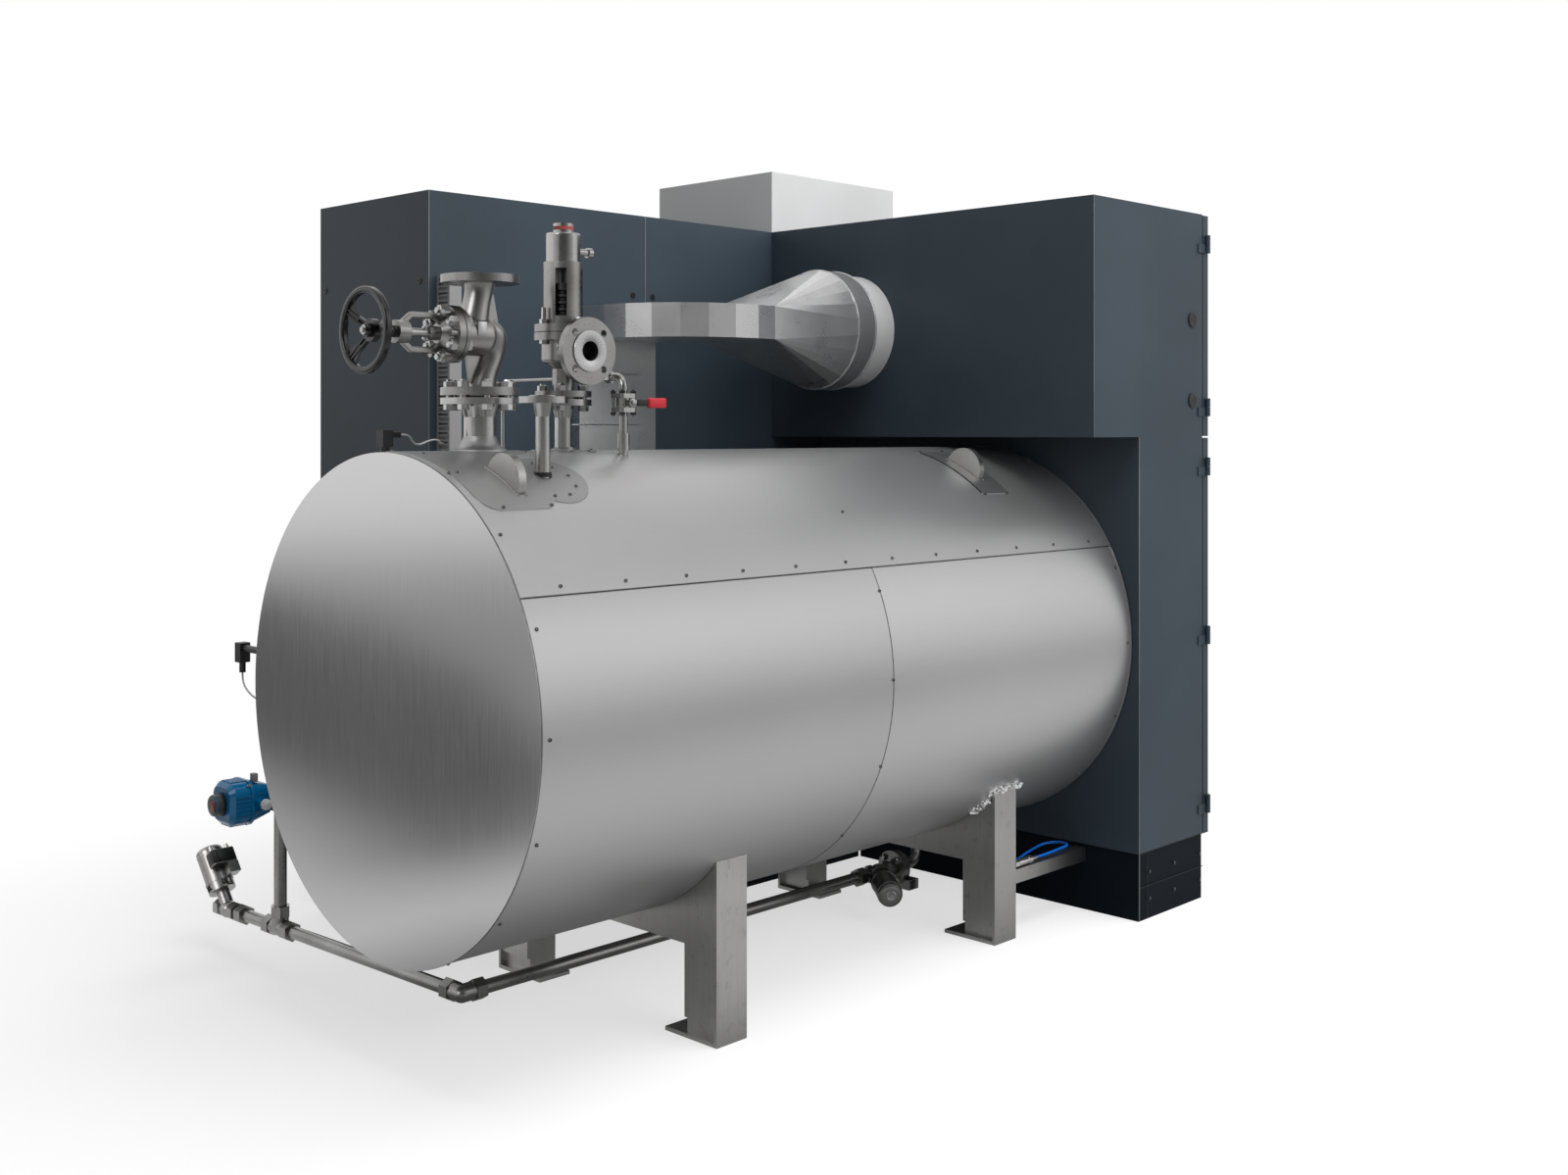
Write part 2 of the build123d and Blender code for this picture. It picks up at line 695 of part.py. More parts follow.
def steam_valve_bonnet():
    """Bonnet flange with its studs, the gland with its two bolts, and the bent yoke round the stem."""
    face_x = steam_x - bonnet_face_reach
    flange_x = face_x - bonnet_flange_thickness
    yoke_x = face_x - yoke_reach
    away = (-1, 0, 0)
    body = rod((face_x, 0, valve_mid_z), away, bonnet_flange_thickness, bonnet_flange_radius)
    body += cone((flange_x, 0, valve_mid_z), away, bonnet_cone_length, bonnet_cone_radius, gland_radius * 1.3)
    gland_x = flange_x - gland_stand_off
    body += rod((gland_x, 0, valve_mid_z), away, gland_length, gland_radius)
    body += rod((flange_x, 0, valve_mid_z), away, gland_stand_off, gland_radius * 0.75)
    for side in (-1, 1):
        z = valve_mid_z + side * gland_stud_half
        body += rod((flange_x, 0, z), away, gland_stand_off + gland_length * 1.5, gland_stud_radius)
        start = (flange_x, 0, valve_mid_z + side * yoke_foot_half)
        route = FilletPolyline(
            start,
            (flange_x - yoke_foot_rise, 0, valve_mid_z + side * yoke_half_height),
            (yoke_x + yoke_hub_length / 2 + yoke_shoulder, 0, valve_mid_z + side * yoke_half_height),
            (yoke_x + yoke_hub_length / 2, 0, valve_mid_z + side * yoke_hub_radius * 0.6),
            radius=yoke_bend_radius,
        )
        section = Plane(origin=start, x_dir=(0, 1, 0), z_dir=route % 0) * RectangleRounded(
            yoke_depth, yoke_arm, yoke_depth / 3)
        body += sweep(section, path=route)
    body += rod((yoke_x, 0, valve_mid_z), (1, 0, 0), yoke_hub_length, yoke_hub_radius)
    studs = ring_of_holes((flange_x, 0, valve_mid_z), away, bonnet_stud_length, bonnet_stud_radius,
                          bonnet_bolt_circle, 6, 30)
    body += studs
    bore = stem_radius + stem_running_gap
    return body - rod((face_x, 0, valve_mid_z), away, yoke_reach + overrun, bore)


def steam_valve_stem():
    """The stem from the gland through the yoke to the wheel, with the nut that holds the wheel."""
    start_x = steam_x - bonnet_face_reach - bonnet_flange_thickness / 2
    end_x = steam_x - wheel_reach
    away = (-1, 0, 0)
    body = rod((start_x, 0, valve_mid_z), away, start_x - end_x, stem_radius)
    body += hexagon((end_x, 0, valve_mid_z), away, wheel_nut_length, wheel_nut_radius)
    return body + rod((end_x - wheel_nut_length, 0, valve_mid_z), away, wheel_tip_length, wheel_tip_radius)


def handwheel():
    """Dished wheel with three channel shaped spokes, each with a thin web where it meets the rim."""
    wheel_x = steam_x - wheel_reach
    place = Plane(origin=(wheel_x, 0, valve_mid_z), x_dir=(0, 1, 0), z_dir=(1, 0, 0))
    rim_center = wheel_radius - wheel_rim_width / 2
    rim_plane = Plane(origin=(0, 0, 0), x_dir=(1, 0, 0), z_dir=(0, -1, 0))
    section = rim_plane * Pos(rim_center, 0) * RectangleRounded(wheel_rim_width, wheel_rim_depth, wheel_rim_corner)
    body = place * revolve(section, Axis.Z)
    body += rod((wheel_x, 0, valve_mid_z), (1, 0, 0), wheel_collar_length, wheel_collar_radius)
    hub_x = wheel_x + wheel_collar_length
    body += rod((hub_x, 0, valve_mid_z), (1, 0, 0), wheel_hub_length, wheel_hub_radius)
    root_z = wheel_dish

    def across(radius, height, profile):
        return Plane(origin=(radius, 0, height), x_dir=(0, 1, 0), z_dir=(1, 0, 0)) * profile

    def channel(width):
        groove = Pos(0, -wheel_spoke_depth / 2) * Rectangle(width * 0.4, wheel_spoke_depth)
        return Rectangle(width, wheel_spoke_depth) - groove

    spoke = loft([across(wheel_hub_radius * 0.6, root_z, channel(wheel_spoke * 1.2)),
                  across(rim_center, 0, channel(wheel_spoke))])
    web = loft([across(rim_center * 0.5, root_z * 0.5, Rectangle(wheel_spoke, wheel_web_thickness)),
                across(rim_center, 0, Rectangle(wheel_web_width, wheel_web_thickness))])
    spoke_angles = (32, 174, 314)
    for angle in spoke_angles:
        body += place * Rot(0, 0, angle) * (spoke + web)
    hole = rod((wheel_x, 0, valve_mid_z), (1, 0, 0), wheel_collar_length + wheel_hub_length + overrun, stem_radius)
    return body - hole


def safety_valve_body():
    """Angle casting: inlet flange, neck, bowl, outlet flange and the flange that carries the spring house."""
    bottom = flange((safety_x, 0, joint_z), (0, 0, -1), inlet_flange_radius, inlet_flange_thickness,
                    inlet_bolt_circle, bolt_hole_radius, 4, raised_radius * 0.64, safety_pipe_radius, 45)
    neck_z = joint_z + inlet_flange_thickness
    neck = rod((safety_x, 0, neck_z), (0, 0, 1), safety_bowl_z - neck_z, safety_neck_radius)
    rise = cone((safety_x, 0, safety_bowl_z - safety_neck_radius / 2), (0, 0, 1), safety_neck_radius / 2,
                safety_neck_radius, safety_bowl_radius * 0.82)
    bowl = rod((safety_x, 0, safety_bowl_z), (0, 0, 1), lid_joint_z - safety_bowl_z, safety_bowl_radius)
    bowl = fillet(bowl.edges().filter_by(GeomType.CIRCLE).group_by(Axis.Z)[0], safety_bowl_radius * 0.18)
    collar = rod((safety_x, 0, lid_joint_z), (0, 0, -1), lid_flange_thickness, lid_flange_radius)
    arm = rod((safety_x, 0, safety_outlet_z), (0, -1, 0), safety_outlet_reach - outlet_flange_thickness,
              outlet_arm_radius)
    outlet = flange((safety_x, -safety_outlet_reach, safety_outlet_z), (0, -1, 0), outlet_flange_radius,
                    outlet_flange_thickness, outlet_bolt_circle, bolt_hole_radius, 4, outlet_raised_radius,
                    outlet_bore_radius, 45)
    body = bottom + neck + rise + bowl + collar + arm + outlet
    body -= rod((safety_x, -safety_outlet_reach, safety_outlet_z), (0, 1, 0), safety_outlet_reach,
                outlet_bore_radius)
    bore = safety_pipe_radius - safety_pipe_wall
    return body - rod((safety_x, 0, joint_z), (0, 0, 1), inlet_flange_thickness * 2, bore)


def safety_valve_bonnet():
    """The open spring house with four windows, on its flange."""
    base = rod((safety_x, 0, lid_joint_z), (0, 0, 1), lid_flange_thickness, lid_flange_radius)
    house = rod((safety_x, 0, lid_joint_z), (0, 0, 1), spring_house_top_z - lid_joint_z, spring_house_radius)
    body = base + house
    inner_z = lid_joint_z + lid_flange_thickness
    body -= rod((safety_x, 0, inner_z), (0, 0, 1), spring_house_top_z - spring_house_wall - inner_z,
                spring_house_radius - spring_house_wall)
    window_z = lid_joint_z + window_foot + window_height / 2
    cutter = Box(spring_house_radius * 4, window_width, window_height)
    for turn in (45, 135):
        body -= Pos(safety_x, 0, window_z) * Rot(0, 0, turn) * cutter
    return body


def safety_valve_spring():
    """The spring on its spindle, as close turns between two plates."""
    base_z = lid_joint_z + lid_flange_thickness
    top_z = spring_house_top_z - spring_house_wall
    body = rod((safety_x, 0, base_z), (0, 0, 1), top_z - base_z, spindle_radius)
    plate_height = spring_wire_radius * 2
    body += rod((safety_x, 0, base_z), (0, 0, 1), plate_height, spring_radius + spring_wire_radius)
    turns = int((top_z - base_z - plate_height * 2) / spring_pitch * 0.72)
    last_z = base_z + plate_height
    for i in range(turns):
        last_z = base_z + plate_height + spring_pitch * (i + 0.5)
        ring = Pos(safety_x, 0, last_z) * Torus(spring_radius, spring_wire_radius)
        body += ring
    web = rod((safety_x, 0, base_z), (0, 0, 1), last_z - base_z, spring_radius - spring_wire_radius / 2)
    web -= rod((safety_x, 0, base_z), (0, 0, 1), last_z - base_z, spring_radius - spring_wire_radius)
    body += web
    body += rod((safety_x, 0, last_z + spring_wire_radius / 2), (0, 0, 1), plate_height,
                spring_radius + spring_wire_radius)
    return body


def safety_valve_cap():
    """The closed cap over the adjusting screw, with its crown and side plug."""
    body = rod((safety_x, 0, spring_house_top_z), (0, 0, 1), cap_top_z - spring_house_top_z, cap_radius)
    body = fillet(body.edges().filter_by(GeomType.CIRCLE).group_by(Axis.Z)[-1], cap_radius * 0.12)
    body += rod((safety_x, 0, cap_top_z), (0, 0, 1), crown_top_z - cap_top_z, crown_radius)
    plug = rod((safety_x, 0, side_plug_z), (1, 0, 0), side_plug_reach, side_plug_radius * 0.7)
    knob_length = side_plug_radius
    plug += rod((safety_x + side_plug_reach - knob_length, 0, side_plug_z), (1, 0, 0), knob_length,
                side_plug_radius)
    return body + plug


def gauge_line():
    """The thin tube that rises behind the valves and runs forward to the union."""
    base_z = drum_axis_z + math.sqrt(vessel_radius * vessel_radius - gauge_far_y * gauge_far_y) - vessel_wall
    union_y = gauge_y + gauge_bend_radius + union_length
    route = FilletPolyline(
        (gauge_x, gauge_far_y, base_z),
        (gauge_x, gauge_far_y, gauge_line_z),
        (gauge_x, union_y, gauge_line_z),
        radius=gauge_bend_radius,
    )
    start = Plane(origin=route @ 0, z_dir=route % 0)
    tube = sweep(start * Circle(gauge_tube_radius), path=route)
    return tube - along_drum(0, drum_length, vessel_radius + seat_gap)


def ball_valve():
    """Union, elbow, three piece ball valve and the pipe down into the drum."""
    base_z = drum_axis_z + math.sqrt(vessel_radius * vessel_radius - gauge_y * gauge_y) - vessel_wall
    union_y = gauge_y + gauge_bend_radius + union_length
    route = FilletPolyline(
        (gauge_x, union_y, gauge_line_z),
        (gauge_x, gauge_y, gauge_line_z),
        (gauge_x, gauge_y, base_z),
        radius=gauge_bend_radius,
    )
    start = Plane(origin=route @ 0, z_dir=route % 0)
    body = sweep(start * Circle(gauge_pipe_radius), path=route)
    body += hexagon((gauge_x, union_y, gauge_line_z), (0, -1, 0), union_length * 0.6, union_radius)
    body += rod((gauge_x, gauge_y, ball_valve_z - ball_body_height / 2), (0, 0, 1), ball_body_height,
                ball_body_radius)
    for end in (-1, 1):
        z = ball_valve_z + end * (ball_body_height + ball_cap_thickness) / 2
        cap = Pos(gauge_x, gauge_y, z) * Box(ball_cap_half_width * 2, ball_cap_half_width * 2, ball_cap_thickness)
        body += fillet(cap.edges().filter_by(Axis.Z), ball_cap_half_width / 3)
    for dx in (-1, 1):
        for dy in (-1, 1):
            body += rod((gauge_x + dx * ball_bolt_circle_half, gauge_y + dy * ball_bolt_circle_half,
                         ball_valve_z - ball_body_height / 2), (0, 0, 1), ball_body_height, ball_bolt_radius)
    body += rod((gauge_x, gauge_y, ball_valve_z), (0, -1, 0), ball_stem_reach, ball_stem_radius)
    body += rod((gauge_x, gauge_y, socket_bottom_z), (0, 0, 1), socket_height, socket_radius)
    return body - along_drum(0, drum_length, vessel_radius + seat_gap)


def ball_valve_lever():
    """The flat lever on the valve stem, closed across the pipe, with its grip sleeve."""
    plane_y = gauge_y - ball_stem_reach - lever_gap
    place = Plane(origin=(gauge_x, plane_y, ball_valve_z), x_dir=(1, 0, 0), z_dir=(0, -1, 0))
    strip = Pos(lever_length / 2, 0) * Rectangle(lever_length, lever_neck_width)
    body = extrude(place * (Circle(lever_hub_radius) + strip), lever_thickness)
    start = lever_length - lever_sleeve_length
    grip = Pos(start + lever_sleeve_length / 2, 0) * RectangleRounded(
        lever_sleeve_length, lever_sleeve_width, lever_sleeve_width * 0.3)
    low = (lever_sleeve_thickness - lever_thickness) / 2
    body += extrude(place * Pos(0, 0, -low) * grip, lever_sleeve_thickness)
    return body


def top_sensor():
    """Hex stub with an angled plug that looks along the drum."""
    base_z = drum_axis_z + math.sqrt(vessel_radius * vessel_radius - top_sensor_y * top_sensor_y) - vessel_wall
    body = rod((top_sensor_x, top_sensor_y, base_z), (0, 0, 1), top_plug_base_z - base_z,
               sensor_hex_radius * 0.8)
    hex_z = top_plug_base_z - sensor_hex_radius
    body += hexagon((top_sensor_x, top_sensor_y, hex_z), (0, 0, 1), sensor_hex_radius, sensor_hex_radius)
    half = sensor_plug / 2
    body += block((top_sensor_x - half, top_sensor_y - half, top_plug_base_z),
                  (top_sensor_x + half, top_sensor_y + half, top_plug_base_z + sensor_plug_height))
    body += rod((top_sensor_x + half, top_sensor_y, top_gland_z), (1, 0, 0), sensor_gland_length, sensor_gland_radius)
    return body - along_drum(0, drum_length, vessel_radius + seat_gap)


def side_sensor():
    """The sensor that stands out of the far side on its collar, with its plug hanging down."""
    plug_y = drum_radius + side_sensor_reach
    body = rod((side_sensor_x, drum_radius - side_collar_length, side_sensor_z), (0, 1, 0),
               side_sensor_reach + side_collar_length, side_sensor_radius)
    collar = rod((side_sensor_x, drum_radius - side_collar_length, side_sensor_z), (0, 1, 0),
                 side_collar_length * 2, side_collar_radius)
    body += collar - along_drum(-overrun, drum_length, drum_radius + seat_gap)
    half = sensor_plug / 2
    plug_top = side_sensor_z + half
    body += block((side_sensor_x - half, plug_y, plug_top - side_plug_height),
                  (side_sensor_x + half, plug_y + sensor_plug, plug_top))
    body += rod((side_sensor_x, plug_y + half, plug_top - side_plug_height), (0, 0, -1), sensor_gland_length,
                sensor_gland_radius)
    return body


def cord(points, radius):
    """A round cable through its route points, with arcs as large as the runs allow."""
    vectors = [Vector(*p) for p in points]
    radii = []
    for a, b, c in zip(vectors, vectors[1:], vectors[2:]):
        run = min((b - a).length, (c - b).length)
        turn = math.radians((b - a).get_angle(c - b))
        radii.append(0.45 * run / math.tan(turn / 2))
    print("cord radii", [round(r) for r in radii])
    route = FilletPolyline(*points, radius=radii)
    start = Plane(origin=route @ 0, z_dir=route % 0)
    tube = sweep(start * Circle(radius), path=route)
    share = tube.volume / (math.pi * radius * radius * route.length)
    print("cord length", round(route.length), "volume share", round(share, 3))
    return tube


def top_sensor_cable():
    """The cable from the top sensor's plug to the wiring duct."""
    start_x = top_sensor_x + sensor_plug / 2 + sensor_gland_length
    wiring_y = cabinet_front_y - wiring_depth / 2
    points = [
        (start_x, top_sensor_y, top_gland_z),
        (start_x + 17, top_sensor_y, top_gland_z),
        (start_x + 43, top_sensor_y + 22, top_gland_z - 5),
        (start_x + 73, top_sensor_y + 58, top_gland_z - 15),
        (start_x + 109, top_sensor_y + 102, top_gland_z - 23),
        (start_x + 149, top_sensor_y + 144, top_gland_z - 26),
        (start_x + 189, top_sensor_y + 187, top_gland_z - 23),
        (start_x + 229, top_sensor_y + 229, top_gland_z - 19),
        (start_x + 269, top_sensor_y + 272, top_gland_z - 16),
        (start_x + 310, top_sensor_y + 314, top_gland_z - 14),
        (start_x + 344, top_sensor_y + 355, top_gland_z - 15),
        (start_x + 377, top_sensor_y + 392, top_gland_z - 17),
        (start_x + 409, top_sensor_y + 434, top_gland_z - 20),
        (start_x + 433, top_sensor_y + 472, top_gland_z - 23),
        (wiring_x - 19, wiring_y - 6, top_gland_z - 25),
        (wiring_x - 8, wiring_y, top_gland_z - 25),
        (wiring_x, wiring_y, top_gland_z - 25),
    ]
    return cord(points, cable_radius)


def side_sensor_cable():
    """The cable that hangs from the side sensor and goes back into the drum's cladding."""
    start_z = side_sensor_z + sensor_plug / 2 - side_plug_height - sensor_gland_length
    start_y = drum_radius + side_sensor_reach + sensor_plug / 2
    points = [
        (side_sensor_x, start_y, start_z),
        (side_sensor_x, start_y, start_z - 17),
        (side_sensor_x + 1, start_y - 8, start_z - 34),
        (side_sensor_x + 3, start_y - 26, start_z - 49),
        (side_sensor_x + 5, start_y - 52, start_z - 60),
        (side_sensor_x + 8, start_y - 82, start_z - 65),
        (side_sensor_x + 8, start_y - 110, start_z - 65),
    ]
    return cord(points, cable_radius)


def cable_clip():
    """The small gland on the cladding where the side cable goes in."""
    start_z = side_sensor_z + sensor_plug / 2 - side_plug_height - sensor_gland_length - 65
    start_y = drum_radius + side_sensor_reach + sensor_plug / 2 - 110
    body = rod((side_sensor_x + 8, start_y, start_z), (0, -1, 0), clip_length * 2, sensor_gland_radius)
    return body - along_drum(-overrun, drum_length, drum_radius + seat_gap)


def flue_collar():
    """The round collar on the upper housing."""
    x0 = housing_face_x - collar_length
    return pipe((x0, flue_y, flue_z), (1, 0, 0), collar_length, collar_radius, flue_wall * 3)


def flue_transition():
    """Sheet piece that turns the flat duct into the round ring, with a short neck."""
    ring_end_x = housing_face_x - collar_length
    ring_x = ring_face_x
    neck_x = duct_outer_x + elbow_radius
    folds = 24

    def outline(grow):
        round_points = []
        flat_points = []
        radius = flue_ring_radius - grow
        for i in range(folds):
            a = 2 * math.pi * (i + 0.5) / folds
            round_points.append((radius * math.cos(a), radius * math.sin(a)))
            y = math.copysign(duct_width / 2 - grow, math.cos(a))
            z = math.copysign(duct_height / 2 - grow, math.sin(a))
            flat_points.append((y, z))
        return round_points, flat_points

    def shell(grow, x_flat, x_round):
        round_points, flat_points = outline(grow)
        faces = []
        vertex_round = [Vector(x_round, flue_y + y, flue_z + z) for y, z in round_points]
        vertex_flat = [Vector(x_flat, flue_y + y, flue_z + z) for y, z in flat_points]
        for i in range(folds):
            j = (i + 1) % folds
            a, b = vertex_round[i], vertex_round[j]
            c, d = vertex_flat[j], vertex_flat[i]
            faces.append(Face(Wire.make_polygon([a, b, d], close=True)))
            if (c - d).length > 0:
                faces.append(Face(Wire.make_polygon([b, c, d], close=True)))
        corners = [(1, 1), (-1, 1), (-1, -1), (1, -1)]
        half_w = duct_width / 2 - grow
        half_h = duct_height / 2 - grow
        flat_face = Face(Wire.make_polygon(
            [Vector(x_flat, flue_y + s * half_w, flue_z + t * half_h) for s, t in corners], close=True))
        faces.append(flat_face)
        faces.append(Face(Wire.make_polygon(vertex_round, close=True)))
        return Solid(Shell(faces))

    outer = shell(0, transition_face_x, ring_x)
    inner = shell(flue_wall, transition_face_x, ring_x)
    body = outer - inner
    neck = block((neck_x, flue_y - duct_width / 2, flue_z - duct_height / 2),
                 (transition_face_x, flue_y + duct_width / 2, flue_z + duct_height / 2))
    neck -= block((neck_x, flue_y - duct_width / 2 + flue_wall, flue_z - duct_height / 2 + flue_wall),
                  (transition_face_x, flue_y + duct_width / 2 - flue_wall, flue_z + duct_height / 2 - flue_wall))
    ring = pipe((ring_x, flue_y, flue_z), (1, 0, 0), flue_ring_length, flue_ring_radius, flue_wall)
    lip = flue_ring_radius - collar_radius
    ring += pipe((ring_end_x - flue_wall, flue_y, flue_z), (1, 0, 0), flue_wall, flue_ring_radius,
                 lip + flue_wall * 2)
    return body + neck + ring


def flue_elbow():
    """Segmented flat elbow and the straight end over the riser."""
    outer = elbow_radius
    inner = outer - duct_width
    center = (duct_outer_x + outer, elbow_end_y)
    z0 = flue_z - duct_height / 2

    def outline(grow):
        far = outer - grow
        near = inner + grow
        points = []
        for i in range(elbow_segments + 1):
            a = math.radians(180 + 90 * i / elbow_segments)
            points.append((center[0] + far * math.cos(a), center[1] + far * math.sin(a)))
        points.append((center[0], center[1] - near))
        points.append((center[0] - near, center[1]))
        return points

    solid = extrude(Pos(0, 0, z0) * make_face(Polyline(*outline(0), close=True)), duct_height)
    room = extrude(Pos(0, 0, z0 + flue_wall) * make_face(Polyline(*outline(flue_wall), close=True)),
                   duct_height - flue_wall * 2)
    end = block((duct_outer_x, elbow_end_y, z0), (duct_outer_x + duct_width, cabinet_front_y, z0 + duct_height))
    end_room = block((duct_outer_x + flue_wall, elbow_end_y - flue_wall, z0 + flue_wall),
                     (duct_outer_x + duct_width - flue_wall, cabinet_front_y - flue_wall, z0 + duct_height - flue_wall))
    body = solid + end - room - end_room
    return body


def flue_riser():
    """The flat duct down the cabinet face, under the elbow's end."""
    y0 = cabinet_front_y - riser_depth
    top = flue_z - duct_height / 2
    body = block((duct_outer_x, y0, riser_foot_z), (duct_outer_x + duct_width, cabinet_front_y, top))
    body -= block((duct_outer_x + flue_wall, y0 + flue_wall, riser_foot_z + flue_wall),
                  (duct_outer_x + duct_width - flue_wall, cabinet_front_y - flue_wall, top))
    return body


def cabinet(x0, x1):
    """A closed switch cabinet on its plinth line."""
    return block((x0, cabinet_front_y, plinth_height), (x1, cabinet_rear_y, cabinet_top_z))


def cabinets():
    """The two cabinets of the row and the one that fills the corner."""
    joint_x = cabinet_left_x + cabinet_width
    left = cabinet(cabinet_left_x, joint_x - panel_gap / 2)
    middle = cabinet(joint_x + panel_gap / 2, drum_length - panel_gap)
    corner = cabinet(drum_length, housing_rear_x)
    return left, middle, corner


def cabinet_plinth():
    """The dark base under the row, with the part that reaches forward under the drum."""
    body = block((cabinet_left_x + plinth_setback, cabinet_front_y + plinth_setback, 0),
                 (housing_rear_x - door_thickness, cabinet_rear_y - plinth_setback, plinth_height))
    body += block((base_left_x, base_front_y, 0),
                  (drum_length, cabinet_front_y + plinth_setback, plinth_height))
    return body


def housing(face_x, z0, z1):
    """A hollow housing, open behind the hinged leaf and closed beside it."""
    shell_rear = housing_rear_x - door_thickness - door_seal_gap
    wall = housing_wall
    body = block((face_x, housing_near_y, z0), (shell_rear, cabinet_front_y - panel_gap, z1))
    body -= block((face_x + wall, housing_near_y + wall, z0 + wall),
                  (shell_rear - wall, cabinet_front_y - panel_gap - wall, z1 - wall))
    body -= block((shell_rear - wall, housing_near_y + wall, z0 + wall),
                  (shell_rear, door_split_y - wall, z1 - wall))
    body += block((shell_rear, door_split_y + door_gap / 2, z0), (housing_rear_x, cabinet_front_y - panel_gap, z1))
    return body


def hinge_place():
    """Where the door hinges turn, seen from above."""
    return housing_rear_x - door_thickness / 2, housing_near_y - hinge_stand_off


def hinge_heights(z0, z1, count):
    """The heights of the hinge middles of a door."""
    first = z0 + hinge_inset
    last = z1 - hinge_inset
    return [first + (last - first) * i / (count - 1) for i in range(count)]


def door(z0, z1, count):
    """A hinged leaf with its half of each hinge on the near edge."""
    x0 = housing_rear_x - door_thickness
    low_z = z0 + door_gap / 2
    high_z = z1 - door_gap / 2
    body = block((x0, housing_near_y, low_z), (housing_rear_x, door_split_y - door_gap / 2, high_z))
    hx, hy = hinge_place()
    for z in hinge_heights(z0, z1, count):
        body += rod((hx, hy, z), (0, 0, 1), hinge_length / 2, hinge_radius)
        body += block((hx, housing_near_y - hinge_plate, z), (housing_rear_x, housing_near_y, z + hinge_length / 2))
    return body


def hinge_leaves(z0, z1, count):
    """The fixed halves of the hinges, on the housing's near side."""
    hx, hy = hinge_place()
    leaves = []
    shell_rear = housing_rear_x - door_thickness - door_seal_gap
    for z in hinge_heights(z0, z1, count):
        knuckle = rod((hx, hy, z - lever_gap), (0, 0, -1), hinge_length / 2 - lever_gap, hinge_radius)
        plate = block((shell_rear - hinge_length / 2, housing_near_y - hinge_plate, z - hinge_length / 2),
                      (hx, housing_near_y, z - lever_gap))
        leaves.append(knuckle + plate)
    return leaves


def upper_housing():
    """The housing that the flue comes out of, with its round plugs and hinge leaves."""
    body = housing(housing_face_x, housing_split_z, cabinet_top_z)
    for leaf in hinge_leaves(housing_split_z, cabinet_top_z, 2):
        body += leaf
    return body


def lower_housing():
    """The housing behind the drum, with its hinge leaves."""
    body = housing(drum_length, plinth_height, housing_split_z)
    for leaf in hinge_leaves(plinth_height, housing_split_z, 3):
        body += leaf
    return body


def lower_plinth():
    """The dark plinth under the lower housing."""
    return block((drum_length + plinth_setback / 2, housing_near_y + plinth_setback / 2, 0),
                 (lower_plinth_rear_x, base_front_y - panel_gap, plinth_height))


def roof_box():
    """The pale box on the corner of the cabinets."""
    x0 = housing_face_x + roof_box_inset
    return block((x0, cabinet_front_y + roof_box_inset, cabinet_top_z),
                 (housing_rear_x - roof_box_inset, cabinet_rear_y - roof_box_inset, cabinet_top_z + roof_box_height))


def wiring_duct():
    """Slotted wiring duct on the cabinet face, with its plain cover."""
    y0 = cabinet_front_y - wiring_depth
    body = block((wiring_x, y0, wiring_bottom_z), (wiring_x + wiring_width, cabinet_front_y, wiring_top_z))
    count = int((wiring_top_z - wiring_bottom_z) / slot_pitch)
    slot = Box(wiring_cover, slot_depth, slot_height)
    z_first = wiring_top_z - slot_pitch / 2
    y_mid = cabinet_front_y - wiring_depth / 2
    cuts = [Pos(wiring_x + wiring_cover / 2, y_mid, z_first - slot_pitch * i) * slot for i in range(count)]
    return body - Compound(cuts)


def skewed(shape):
    """Turns a piece of the cross line about the drain elbow, as the real line runs slightly out of square."""
    return shape.rotate(Axis((drain_elbow_x, drain_y, 0), (0, 0, 1)), drain_skew)


def tee_place():
    """Plan position of the tee on the cross line."""
    reach = drain_cross_length * drain_tee_share
    a = math.radians(drain_skew)
    return drain_elbow_x - reach * math.sin(a), drain_y + reach * math.cos(a)


